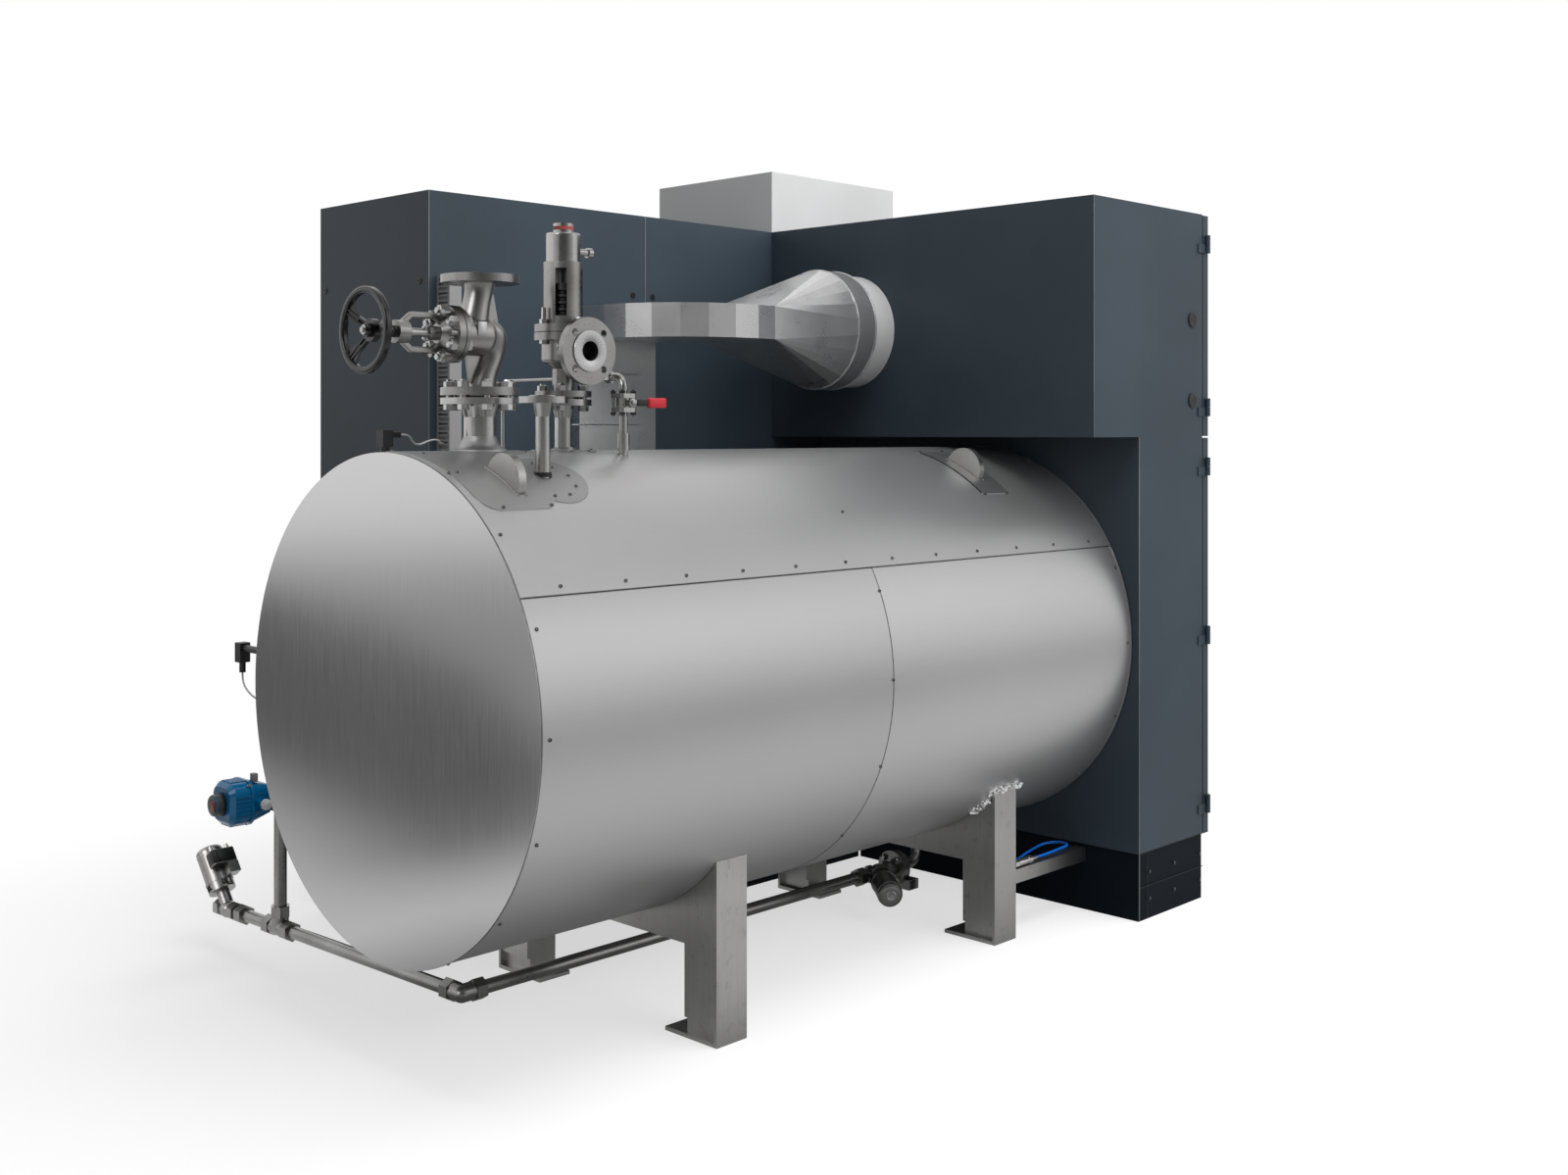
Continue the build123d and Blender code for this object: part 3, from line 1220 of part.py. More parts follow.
def drain_pipe():
    """The drain line: the run under the drum, the elbow, the cross line with its tee, and the riser."""
    start = (drain_elbow_x, drain_y, drain_z)
    body = rod(start, (1, 0, 0), near_valve_x - angle_body_length / 2 - drain_elbow_x, drain_radius)
    elbow = Pos(*start) * Sphere(drain_fitting_radius)
    elbow += rod(start, (1, 0, 0), drain_nut_length, drain_fitting_radius)
    elbow += hexagon((drain_elbow_x + drain_nut_length, drain_y, drain_z), (1, 0, 0), drain_nut_length,
                     drain_nut_radius)
    body += elbow
    body += hexagon((drain_end_x - drain_nut_length, drain_y, drain_z), (1, 0, 0), drain_nut_length, drain_nut_radius)
    cross_end = drain_cross_length - angle_body_length / 2
    cross = rod(start, (0, 1, 0), cross_end, drain_radius)
    cross += rod(start, (0, 1, 0), drain_nut_length, drain_fitting_radius)
    cross += hexagon((drain_elbow_x, drain_y + drain_nut_length, drain_z), (0, 1, 0), drain_nut_length,
                     drain_nut_radius)
    tee_y = drain_y + drain_cross_length * drain_tee_share
    half = drain_nut_length
    cross += rod((drain_elbow_x, tee_y - half, drain_z), (0, 1, 0), half * 2, drain_fitting_radius)
    cross += hexagon((drain_elbow_x, tee_y - half * 2, drain_z), (0, 1, 0), half, drain_nut_radius)
    cross += hexagon((drain_elbow_x, tee_y + half, drain_z), (0, 1, 0), half, drain_nut_radius)
    cross += hexagon((drain_elbow_x, drain_y + cross_end - half * 1.5, drain_z), (0, 1, 0), half, drain_nut_radius)
    body += skewed(cross)
    tee_x, tee_far_y = tee_place()
    riser_end = riser_valve_z - riser_ball_radius * 1.4
    body += rod((tee_x, tee_far_y, drain_z), (0, 0, 1), riser_end - drain_z, drain_radius)
    body += rod((tee_x, tee_far_y, drain_z), (0, 0, 1), half, drain_fitting_radius)
    body += hexagon((tee_x, tee_far_y, drain_z + half), (0, 0, 1), half, drain_nut_radius)
    return body


def riser_valve():
    """Ball valve on the riser, its bracket, and the pipe back into the drum's far side."""
    x, y = tee_place()
    half = riser_ball_radius * 1.4
    body = rod((x, y, riser_valve_z - half), (0, 0, 1), half * 2, riser_ball_radius)
    arm_start = x - riser_ball_radius / 2
    arm_end = x - actuator_near
    body += rod((arm_start, y, riser_valve_z), (-1, 0, 0), arm_start - arm_end, actuator_bracket / 3)
    plate = actuator_bracket / 8
    for side in (-1, 1):
        z = riser_valve_z + side * (actuator_bracket / 2 - plate / 2)
        body += block((arm_end, y - actuator_bracket / 2, z - plate / 2),
                      (arm_start, y + actuator_bracket / 2, z + plate / 2))
    route = FilletPolyline(
        (x, y, riser_valve_z + half),
        (x, y, riser_return_z),
        (x, math.sqrt(vessel_radius ** 2 - (riser_return_z - drum_axis_z) ** 2) - vessel_wall, riser_return_z),
        radius=near_bend_radius,
    )
    start = Plane(origin=route @ 0, z_dir=route % 0)
    body += sweep(start * Circle(drain_radius), path=route)
    return body - along_drum(0, drum_length, vessel_radius + seat_gap)


def valve_actuator():
    """The electric actuator on the riser valve: tapered base, flanged rim, ribbed cover and indicator nose."""
    x, y = tee_place()
    face_x = x - actuator_near
    back = Plane(origin=(face_x, y, riser_valve_z), x_dir=(0, 1, 0), z_dir=(-1, 0, 0))
    side = actuator_side
    base = loft([back * RectangleRounded(actuator_back_side, actuator_back_side, actuator_corner * 0.6),
                 back * Pos(0, 0, actuator_base_length) * RectangleRounded(side, side, actuator_corner)])
    rim_side = side + actuator_rim_proud * 2
    rim = extrude(back * Pos(0, 0, actuator_base_length) * RectangleRounded(rim_side, rim_side, actuator_corner),
                  actuator_rim_length)
    cover_start = actuator_base_length + actuator_rim_length
    cover = extrude(back * Pos(0, 0, cover_start) * RectangleRounded(side, side, actuator_corner),
                    actuator_cover_length)
    cover = chamfer(cover.faces().sort_by(Axis.X)[0].edges(), actuator_chamfer)
    body = base + rim + cover
    span = side - actuator_corner * 2
    for i in range(actuator_rib_count):
        offset = span * (i / (actuator_rib_count - 1) - 0.5)
        for turn in (0, 90, 180, 270):
            rib = Pos(offset, side / 2, cover_start) * Box(
                actuator_rib_width, actuator_rib_height * 2, actuator_cover_length - actuator_chamfer,
                align=(Align.CENTER, Align.CENTER, Align.MIN))
            body += back * Rot(0, 0, turn) * rib
    end_x = face_x - cover_start - actuator_cover_length
    body += rod((end_x, y, riser_valve_z), (-1, 0, 0), actuator_nose_length, actuator_nose_radius)
    gland_x = face_x - actuator_base_length * 0.7
    body += hexagon((gland_x, y, riser_valve_z), (0, -1, 0), side / 2 + actuator_gland_length * 0.6,
                    actuator_gland_radius)
    body += rod((gland_x, y, riser_valve_z), (0, -1, 0), side / 2 + actuator_gland_length,
                actuator_gland_radius * 0.75)
    return body


def piston_valve():
    """Angle seat valve: a body along its flow, a neck, a windowed bell and the domed piston housing."""
    body = rod((0, -angle_body_length / 2, 0), (0, 1, 0), angle_body_length, angle_body_radius * 0.8)
    body += Sphere(angle_body_radius)
    for end in (-1, 1):
        length = angle_body_length * 0.24
        start_y = end * angle_body_length / 2 - (length if end > 0 else 0)
        body += hexagon((0, start_y, 0), (0, 1, 0), length, angle_body_radius * 1.08)
    lean = Plane(origin=(0, 0, 0), x_dir=(1, 0, 0),
                 z_dir=(0, math.cos(math.radians(piston_tilt)), math.sin(math.radians(piston_tilt))))
    up = (Align.CENTER, Align.CENTER, Align.MIN)
    actuator = Cylinder(angle_neck_radius, angle_neck_length + bell_wall, align=up)
    bell = Pos(0, 0, angle_neck_length) * Cylinder(piston_radius, bell_length, align=up)
    bell -= Pos(0, 0, angle_neck_length + bell_wall) * Cylinder(
        piston_radius - bell_wall, bell_length - bell_wall, align=up)
    window = Pos(0, 0, angle_neck_length + bell_length / 2 + bell_wall / 2) * Box(
        piston_radius * 3, bell_window, bell_length - bell_wall * 2.4)
    for turn in (0, 90):
        bell -= Rot(0, 0, turn) * window
    actuator += bell
    actuator += Pos(0, 0, angle_neck_length) * Cylinder(angle_neck_radius * 0.6, bell_length, align=up)
    base = angle_neck_length + bell_length
    barrel = Cylinder(piston_radius, piston_length, align=up)
    barrel = fillet(barrel.edges().filter_by(GeomType.CIRCLE).group_by(Axis.Z)[-1], piston_dome)
    actuator += Pos(0, 0, base) * barrel
    actuator += Pos(0, 0, base) * Cylinder(piston_radius + piston_ring, piston_ring * 4, align=up)
    return body + lean * actuator


def angle_valve_far():
    """The pneumatic valve at the end of the cross line, with its pilot coil and manifold block."""
    lean = Plane(origin=(0, 0, 0), x_dir=(1, 0, 0),
                 z_dir=(0, math.cos(math.radians(piston_tilt)), math.sin(math.radians(piston_tilt))))
    base = angle_neck_length + bell_length
    coil_y = -(piston_radius + coil_depth / 2 - piston_ring * 2)
    coil = Pos(0, coil_y, base + piston_length * 0.5) * Box(coil_width, coil_depth, coil_height)
    coil = fillet(coil.edges().filter_by(Axis.Z), coil_depth / 6)
    manifold = Pos(coil_width / 2 - pilot_block / 2, coil_y, base + piston_length * 0.5 - coil_height / 2) * Box(
        pilot_block, pilot_block, pilot_block, align=(Align.CENTER, Align.CENTER, Align.MAX))
    valve = piston_valve() + lean * (coil + manifold)
    return skewed(Pos(drain_elbow_x, drain_y + drain_cross_length, drain_z) * valve)


def angle_valve_near():
    """The pneumatic valve under the drum, the flange pair and the bend up into the vessel."""
    roll = math.radians(near_valve_roll)
    place = Plane(origin=(near_valve_x, drain_y, drain_z), x_dir=(0, -math.sin(roll), math.cos(roll)),
                  z_dir=(0, -math.cos(roll), -math.sin(roll)))
    valve = place * piston_valve()
    start_x = near_valve_x + angle_body_length / 2
    route = FilletPolyline(
        (start_x, drain_y, drain_z),
        (near_riser_x, drain_y, drain_z),
        (near_riser_x, drain_y, drum_axis_z - vessel_radius + vessel_wall),
        radius=near_bend_radius,
    )
    start = Plane(origin=route @ 0, z_dir=route % 0)
    valve += sweep(start * Circle(drain_radius), path=route)
    for x in (near_flange_x - near_flange_thickness, near_flange_x + seat_gap):
        valve += rod((x, drain_y, drain_z), (1, 0, 0), near_flange_thickness, near_flange_radius)
    coil_x = near_flange_x + near_flange_thickness * 2
    coil_z = drain_z - near_flange_radius * 0.9
    valve += block((coil_x - near_flange_thickness * 2, drain_y - drain_radius - coil_height, coil_z - coil_side / 2),
                   (coil_x + coil_depth / 2, drain_y + drain_radius, coil_z + coil_side / 2))
    return valve - along_drum(0, drum_length, vessel_radius + seat_gap)


def hose_fitting():
    """The coupling on the rear leg, just over the tie beam, that the air hose leaves."""
    start = (leg_rear_face_x, -fitting_y, fitting_z)
    along = (1, 0, 0)
    x = leg_rear_face_x
    body = rod(start, along, fitting_stub_length, fitting_stub_radius)
    x += fitting_stub_length
    body += hexagon((x, -fitting_y, fitting_z), along, fitting_hex_length, fitting_hex_radius)
    x += fitting_hex_length
    body += rod((x, -fitting_y, fitting_z), along, fitting_body_length, fitting_radius)
    x += fitting_body_length
    body += rod((x, -fitting_y, fitting_z), along, fitting_collar_length, fitting_collar_radius)
    x += fitting_collar_length
    return body + rod((x, -fitting_y, fitting_z), along, fitting_tail_length, fitting_tail_radius)


def air_hose():
    """The air hose from the coupling: along the tie beam, round in a bow, and back to the inner side of the leg."""
    x0 = leg_rear_face_x + fitting_stub_length + fitting_hex_length + fitting_body_length
    x0 += fitting_collar_length + fitting_tail_length
    y = -fitting_y
    z = fitting_z
    points = [
        (x0, y, z),
        (x0 + 42, y, z),
        (x0 + 86, y - 1, z + 2),
        (x0 + 128, y, z + 4),
        (x0 + 163, y, z + 5),
        (x0 + 189, y + 26, z + 4),
        (x0 + 189, y + 62, z + 1),
        (x0 + 163, y + 88, z - 4),
        (x0 + 124, y + 89, z - 9),
        (x0 + 84, y + 90, z - 16),
        (x0 + 40, y + 88, z - 25),
        (x0 - 2, y + 87, z - 32),
        (x0 - 42, y + 86, z - 35),
        (x0 - 72, y + 86, z - 36),
        (x0 - 100, y + 87, z - 37),
        (leg_rear_face_x, y + 87, z - 37),
    ]
    return cord(points, hose_radius)


def build():
    """Every piece by its name."""
    pieces = {}
    pieces["cladding_top"], pieces["cladding_lower_front"], pieces["cladding_lower_rear"] = cladding()
    pieces["front_end_plate"], pieces["rear_end_plate"] = end_plates()
    pieces["pressure_vessel"] = vessel()
    pieces["nozzle_cover_plate"], pieces["safety_cover_plate"], pieces["rear_cover_plate"] = cover_plates()
    pieces["lifting_lug_front"] = lifting_lug(lug_front_x)
    pieces["lifting_lug_rear"] = lifting_lug(lug_rear_x)
    pieces["saddle_front"] = saddle(leg_front_x)
    pieces["saddle_rear"] = saddle(leg_rear_x)
    for name, x in (("front", leg_front_x), ("rear", leg_rear_x)):
        pieces["leg_" + name + "_near"] = leg(x, -1)
        pieces["leg_" + name + "_far"] = leg(x, 1)
    pieces["tie_beams"] = tie_beams()
    pieces["steam_nozzle"] = nozzle(
        steam_x, 0, steam_pipe_radius, steam_pipe_wall, steam_flange_radius, nozzle_flange_thickness,
        steam_bolt_circle, bolt_hole_radius, 8, raised_radius, steam_neck_radius, 22.5)
    pieces["feed_nozzle"] = nozzle(
        steam_x, feed_y, feed_pipe_radius, feed_pipe_wall, feed_flange_radius, feed_flange_thickness,
        feed_bolt_circle, feed_hole_radius, 4, raised_radius * 0.55, feed_neck_radius, 45)
    pieces["safety_nozzle"] = nozzle(
        safety_x, 0, safety_pipe_radius, safety_pipe_wall, inlet_flange_radius, inlet_flange_thickness,
        inlet_bolt_circle, bolt_hole_radius, 4, raised_radius * 0.64, safety_neck_radius, 45)
    pieces["steam_valve_body"] = steam_valve_body()
    pieces["steam_valve_bonnet"] = steam_valve_bonnet()
    pieces["steam_valve_stem"] = steam_valve_stem()
    pieces["handwheel"] = handwheel()
    pieces["safety_valve_body"] = safety_valve_body()
    pieces["safety_valve_bonnet"] = safety_valve_bonnet()
    pieces["safety_valve_spring"] = safety_valve_spring()
    pieces["safety_valve_cap"] = safety_valve_cap()
    pieces["gauge_line"] = gauge_line()
    pieces["ball_valve"] = ball_valve()
    pieces["ball_valve_lever"] = ball_valve_lever()
    pieces["top_sensor"] = top_sensor()
    pieces["side_sensor"] = side_sensor()
    pieces["top_sensor_cable"] = top_sensor_cable()
    pieces["side_sensor_cable"] = side_sensor_cable()
    pieces["cable_clip"] = cable_clip()
    pieces["left_cabinet"], pieces["middle_cabinet"], pieces["corner_cabinet"] = cabinets()
    pieces["cabinet_plinth"] = cabinet_plinth()
    pieces["upper_housing"] = upper_housing()
    pieces["lower_housing"] = lower_housing()
    pieces["upper_door"] = door(housing_split_z, cabinet_top_z, 2)
    pieces["lower_door"] = door(plinth_height, housing_split_z, 3)
    pieces["lower_plinth"] = lower_plinth()
    pieces["roof_box"] = roof_box()
    pieces["flue_collar"] = flue_collar()
    pieces["flue_transition"] = flue_transition()
    pieces["flue_elbow"] = flue_elbow()
    pieces["flue_riser"] = flue_riser()
    pieces["wiring_duct"] = wiring_duct()
    pieces["drain_pipe"] = drain_pipe()
    pieces["riser_valve"] = riser_valve()
    pieces["valve_actuator"] = valve_actuator()
    pieces["angle_valve_far"] = angle_valve_far()
    pieces["angle_valve_near"] = angle_valve_near()
    pieces["hose_fitting"] = hose_fitting()
    pieces["air_hose"] = air_hose()
    return pieces


def main():
    """Centres the boiler on its footprint and writes one file for each piece."""
    os.makedirs("parts", exist_ok=True)
    pieces = build()
    boxes = [shape.bounding_box() for shape in pieces.values()]
    low = [min(getattr(b.min, a) for b in boxes) for a in "XYZ"]
    high = [max(getattr(b.max, a) for b in boxes) for a in "XYZ"]
    shift = (-(low[0] + high[0]) / 2, -(low[1] + high[1]) / 2, -low[2])
    print("shift", [round(s, 4) for s in shift], "size", [round(h - l, 2) for l, h in zip(low, high)])
    for name, shape in pieces.items():
        solids = shape.solids()
        print(name, len(solids), [round(s.volume) for s in solids][:4])
        kept = solids[0] if len(solids) == 1 else Compound(solids)
        export_step(Pos(*shift) * kept, os.path.join("parts", name + ".step"))


main()
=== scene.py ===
import json
import math
import bmesh
import bpy
from mathutils import Matrix, Vector


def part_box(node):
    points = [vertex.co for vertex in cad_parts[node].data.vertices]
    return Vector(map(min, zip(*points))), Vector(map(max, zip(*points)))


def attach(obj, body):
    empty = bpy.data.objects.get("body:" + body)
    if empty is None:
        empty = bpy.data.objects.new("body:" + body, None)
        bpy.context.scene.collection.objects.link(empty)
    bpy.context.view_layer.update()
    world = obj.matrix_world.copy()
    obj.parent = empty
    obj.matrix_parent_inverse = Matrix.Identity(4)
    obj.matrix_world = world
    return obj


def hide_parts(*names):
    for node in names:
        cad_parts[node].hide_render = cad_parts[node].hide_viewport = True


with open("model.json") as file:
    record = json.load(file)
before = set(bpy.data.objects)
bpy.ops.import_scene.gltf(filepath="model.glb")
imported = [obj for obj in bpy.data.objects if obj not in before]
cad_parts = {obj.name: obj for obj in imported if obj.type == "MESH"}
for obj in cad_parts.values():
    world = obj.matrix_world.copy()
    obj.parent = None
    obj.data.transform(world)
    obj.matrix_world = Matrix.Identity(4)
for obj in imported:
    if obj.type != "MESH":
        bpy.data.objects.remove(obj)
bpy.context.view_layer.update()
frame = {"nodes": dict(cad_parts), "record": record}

# The drum's own frame: X along the drum from its front disc, Y across it, Z up from the floor
MM = 0.001
disc_low, disc_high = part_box("front_end_plate")
FRONT_X = disc_low[0]
DRUM_Y = (disc_low[1] + disc_high[1]) / 2
DRUM_Z = (disc_low[2] + disc_high[2]) / 2

# Driving places of the pieces in that frame, in millimetres
DRUM_AXIS = 826.0
DRUM_SKIN = 575.0
TOP_SKIN = 577.0
COVER_SKIN = 579.0
LENGTH = 2192.0
LAP_X = 1098.0
STEAM_X = 265.0
STEAM_CIRCLE = 72.5
SAFETY_X = 514.0
SAFETY_CIRCLE = 50.0
FEED_Y = -240.0
JOINT_Z = 1532.0
VALVE_MID_Z = 1677.0
BONNET_CIRCLE = 54.0
LID_Z = 1694.0
LID_CIRCLE = 60.0
LEVER_X = 620.0
LEVER_Z = 1521.0
NEAR_FACE_Y = -600.0
FAR_FACE_Y = 682.0
CABINET_X = 580.0
UPPER_HOUSING_X = 1951.0
LOWER_HOUSING_Z = 1434.0
DRAIN_X = 243.0
DRAIN_Y = 42.0
DRAIN_Z = 115.0
DRAIN_CROSS = 1050.0
DRAIN_SKEW = math.radians(2.5)
RISER_SHARE = 0.75
ACTUATOR_Y = 829.0
ACTUATOR_Z = 474.0
PISTON_TILT = math.radians(53.0)
PISTON_ROLL = math.radians(9.0)
SQUARE = 45.0
UP = (0.0, 0.0, 1.0)
DOWN = (0.0, 0.0, -1.0)
BACK = (-1.0, 0.0, 0.0)
ALONG = (1.0, 0.0, 0.0)
NEAR = (0.0, -1.0, 0.0)

# The studio: where its walls and its fill lie, and its windows with their directions and glow
FAR_WALL = (0.0, 1.0, 0.0)
DARK_WALL = (-0.62, -0.78, 0.0)
FILL_SIDE = (0.60, -0.60, 0.53)
FILL_LOW = 0.02
FILL_RISE = 1.0
WINDOWS = (((-0.87, -0.15, 0.47), 3.4), ((0.60, -0.70, 0.39), 0.6), ((0.2, -0.35, 0.92), 1.0))
WINDOW_EDGE = 0.955
WINDOW_CORE = 0.985


def at(x, y, z):
    """A place in the drum's frame, given in millimetres, as a point in metres."""
    return Vector((FRONT_X + x * MM, DRUM_Y + y * MM, z * MM))


# Shader maths
class Value:
    """A socket of a shader tree whose operators add Math nodes."""

    def __init__(self, tree, socket):
        self.tree = tree
        self.socket = socket

    def math(self, operation, first, second):
        return self.tree.node("Math", {"operation": operation}, [first, second])

    def __add__(self, other):
        return self.math("ADD", self, other)

    def __sub__(self, other):
        return self.math("SUBTRACT", self, other)

    def __rsub__(self, other):
        return self.math("SUBTRACT", other, self)

    def __mul__(self, other):
        return self.math("MULTIPLY", self, other)

    def __pow__(self, other):
        return self.math("POWER", self, other)

    def absolute(self):
        return self.math("ABSOLUTE", self, 0.0)

    def clamp(self, low=0.0, high=1.0):
        return self.math("MINIMUM", self.math("MAXIMUM", self, low), high)


class Tree:
    """A node tree that nodes are added to by name."""

    def __init__(self, tree):
        self.tree = tree

    def node(self, kind, settings, values, output=0):
        """Adds one node, sets its settings first and then its inputs, by name or in order."""
        made = self.tree.nodes.new("ShaderNode" + kind)
        for key, value in settings.items():
            setattr(made, key, value)
        pairs = values.items() if isinstance(values, dict) else enumerate(values)
        for key, value in pairs:
            self.feed(made.inputs[key], value)
        return Value(self, made.outputs[output])

    def feed(self, socket, value):
        """Links a value to a socket, or sets the socket to a constant."""
        if isinstance(value, Value):
            self.tree.links.new(value.socket, socket)
        else:
            socket.default_value = value

    def ramp(self, value, low, high):
        """Straightens a value from low to high into nought to one, and holds it there."""
        return self.node("MapRange", {}, {"Value": value, "From Min": low, "From Max": high})

    def mix(self, factor, first, second):
        return self.node("Mix", {"data_type": "RGBA"}, {"Factor": factor, 6: first, 7: second}, 2)

    def dot(self, first, second):
        return self.node("VectorMath", {"operation": "DOT_PRODUCT"}, [first, second], "Value")

    def ray(self, kind):
        """One for rays of a kind, such as Camera or Glossy, and nought for the others."""
        return self.node("LightPath", {}, {}, "Is " + kind + " Ray")


class Finish(Tree):
    """A material with its node tree."""

    def __init__(self, name):
        self.material = bpy.data.materials.new(name)
        self.material.use_nodes = True
        super().__init__(self.material.node_tree)
        self.shader = self.tree.nodes["Principled BSDF"]

    def set(self, **values):
        for key, value in values.items():
            self.feed(self.shader.inputs[key.replace("_", " ")], value)

    def place(self):
        return self.node("TexCoord", {}, {}, "Object")

    def axis(self, name):
        return self.node("SeparateXYZ", {}, {"Vector": self.place()}, name)

    def noise(self, scale, detail=4.0, stretch=(1.0, 1.0, 1.0), roughness=0.5):
        spot = self.node("Mapping", {}, {"Vector": self.place(), "Scale": stretch})
        values = {"Vector": spot, "Scale": scale, "Detail": detail, "Roughness": roughness}
        return self.node("TexNoise", {}, values, "Fac")

    def bump(self, height, distance, strength):
        return self.node("Bump", {}, {"Height": height, "Distance": distance, "Strength": strength})


def colour(red, green, blue):
    return (red, green, blue, 1.0)


def grey(value, warm=0.0):
    """A grey, with red raised and blue lowered by a share."""
    return colour(value * (1 + warm), value, value * (1 - warm))


# Finishes by name
finishes = {}


def steel(name, light, dark, roughness, grain, grain_scale, stains=0.0, bump=0.00004, cloud=3.0, metallic=1.0):
    """Metal with a grain in one direction, soft clouds of tone and a little uneven gloss."""
    finish = Finish(name)
    streak = finish.noise(grain_scale, 5.0, grain, 0.65)
    patches = finish.noise(cloud, 3.0)
    tone = finish.ramp(streak * 0.45 + patches * 0.55, 0.32, 0.68)
    base = finish.mix(tone, dark, light)
    if stains:
        spots = finish.ramp(finish.noise(cloud * 9.0, 7.0, roughness=0.7), 0.56, 0.74)
        stain = colour(dark[0] * 0.35, dark[1] * 0.33, dark[2] * 0.31)
        base = finish.mix(spots * stains, base, stain)
    finish.set(Base_Color=base, Metallic=metallic)
    finish.set(Roughness=(streak * 0.16 + patches * 0.10 + (roughness - 0.13)).clamp(0.08, 0.95))
    finish.set(Normal=finish.bump(streak, bump, 0.6))
    finishes[name] = finish.material


def paint(name, light, dark, roughness, peel=0.00003, metallic=0.0, coat=0.0, specular=0.5):
    """Sprayed paint with a fine orange peel."""
    finish = Finish(name)
    clouds = finish.noise(2.5, 3.0)
    peel_map = finish.noise(900.0, 2.0)
    finish.set(Base_Color=finish.mix(finish.ramp(clouds, 0.3, 0.7), dark, light), Metallic=metallic)
    finish.set(Roughness=(peel_map * 0.12 + (roughness - 0.06)).clamp(0.05, 0.95), Coat_Weight=coat)
    finish.set(Specular_IOR_Level=specular)
    finish.set(Normal=finish.bump(peel_map, peel, 0.5))
    finishes[name] = finish.material


def plastic(name, base, roughness):
    """Moulded plastic with a slight unevenness."""
    finish = Finish(name)
    cloud = finish.noise(60.0, 4.0)
    lighter = colour(*(min(1.0, part * 1.15) for part in base[:3]))
    finish.set(Base_Color=finish.mix(cloud, base, lighter))
    finish.set(Roughness=(cloud * 0.2 + (roughness - 0.1)).clamp())
    finish.set(Normal=finish.bump(finish.noise(1200.0, 2.0), 0.00002, 0.4))
    finishes[name] = finish.material


GRAIN_X = (0.02, 1.0, 1.0)
GRAIN_Z = (1.0, 1.0, 0.02)
EVEN = (1.0, 1.0, 1.0)

steel("brushed_cladding", grey(0.57), grey(0.52), 0.38, GRAIN_X, 500.0, 0.0, 0.000008, 1.4, 0.85)
steel("rear_cladding", grey(0.60), grey(0.55), 0.38, GRAIN_X, 500.0, 0.0, 0.000008, 1.4, 0.85)
steel("end_disc", grey(0.63), grey(0.60), 0.15, GRAIN_Z, 500.0, 0.0, 0.0000015, 1.2)
steel("cover_sheet", grey(0.44), grey(0.38), 0.42, GRAIN_X, 500.0, 0.0, 0.00001, 3.0, 0.9)
steel("vessel_steel", grey(0.3), grey(0.2), 0.5, EVEN, 80.0)
steel("frame_steel", grey(0.58, 0.01), grey(0.42, 0.015), 0.36, GRAIN_Z, 260.0, 0.4, 0.00003, 4.0)
steel("valve_casting", grey(0.42, 0.012), grey(0.28, 0.015), 0.30, EVEN, 420.0, 0.25, 0.00012, 12.0)
steel("turned_steel", grey(0.52, 0.01), grey(0.40, 0.012), 0.22, GRAIN_Z, 380.0, 0.2, 0.000008, 9.0)
steel("pipe_steel", grey(0.38, 0.01), grey(0.22, 0.02), 0.30, EVEN, 300.0, 0.5, 0.00004, 10.0)
steel("duct_zinc", grey(0.76), grey(0.66), 0.30, EVEN, 18.0, 0.0, 0.000001, 5.0, 0.86)
paint("cabinet_paint", colour(0.042, 0.060, 0.078), colour(0.034, 0.048, 0.062), 0.45, specular=0.28)
paint("plinth_paint", colour(0.005, 0.009, 0.014), colour(0.003, 0.006, 0.010), 0.55, specular=0.1)
paint("roof_box_paint", grey(0.66), grey(0.60), 0.45)
paint("collar_white", grey(0.56), grey(0.52), 0.40)
paint("actuator_blue", colour(0.001, 0.20, 0.46), colour(0.001, 0.15, 0.36), 0.20, coat=0.25, specular=0.3)
paint("black_iron", grey(0.008), grey(0.005), 0.22, 0.00006, coat=0.2)
steel("spring_steel", grey(0.12), grey(0.06), 0.4, EVEN, 200.0)
plastic("wiring_plastic", grey(0.26), 0.55)
plastic("black_plastic", grey(0.009), 0.38)
plastic("lever_red", colour(0.42, 0.012, 0.022), 0.35)
plastic("cable_sheath", grey(0.40), 0.45)
plastic("white_cable", grey(0.72), 0.45)
plastic("hose_blue", colour(0.005, 0.14, 0.62), 0.22)
steel("brass", grey(0.74, 0.02), grey(0.56, 0.03), 0.2, EVEN, 300.0, 0.1)
steel("dark_screw", grey(0.26), grey(0.12), 0.18, EVEN, 900.0)
steel("bright_bolt", grey(0.66), grey(0.40), 0.22, EVEN, 500.0, 0.3)
steel("seal_foil", grey(0.95), grey(0.80), 0.16, EVEN, 300.0, 0.0, 0.0002)
steel("bright_face", grey(0.62), grey(0.50), 0.28, EVEN, 600.0, 0.05, 0.00001)
steel("sheet_edge", grey(0.30), grey(0.20), 0.35, EVEN, 300.0)
steel("weld_bead", grey(0.50, 0.02), grey(0.20, 0.03), 0.34, EVEN, 350.0, 0.5)
# Bright metallic strip finish: painted highlight along the cabinet and housing edges
paint("painted_edge_highlight", grey(0.30), grey(0.20), 0.35, metallic=0.6)
plastic("lens_grey", grey(0.06), 0.25)
plastic("lens_red", colour(0.32, 0.012, 0.012), 0.2)
plastic("gland_white", grey(0.80), 0.3)
# Lighter finish for painted highlights down the housing corners
paint("painted_corner_highlight", grey(0.34), grey(0.16), 0.4, metallic=0.5)
# Near-black for dark joints, seams and seals, and for painted shade in the outlet bore and the duct slots
plastic("joint_and_shade_dark", grey(0.010), 0.6)
plastic("band_red", colour(0.30, 0.05, 0.04), 0.45)

slot_of = {part["node"]: part["material_slot"] for part in frame["record"]["subparts"]}
slot_of["cladding_lower_rear"] = "rear_cladding"
for name, node in frame["nodes"].items():
    node.data.materials.clear()
    node.data.materials.append(finishes[slot_of[name]])


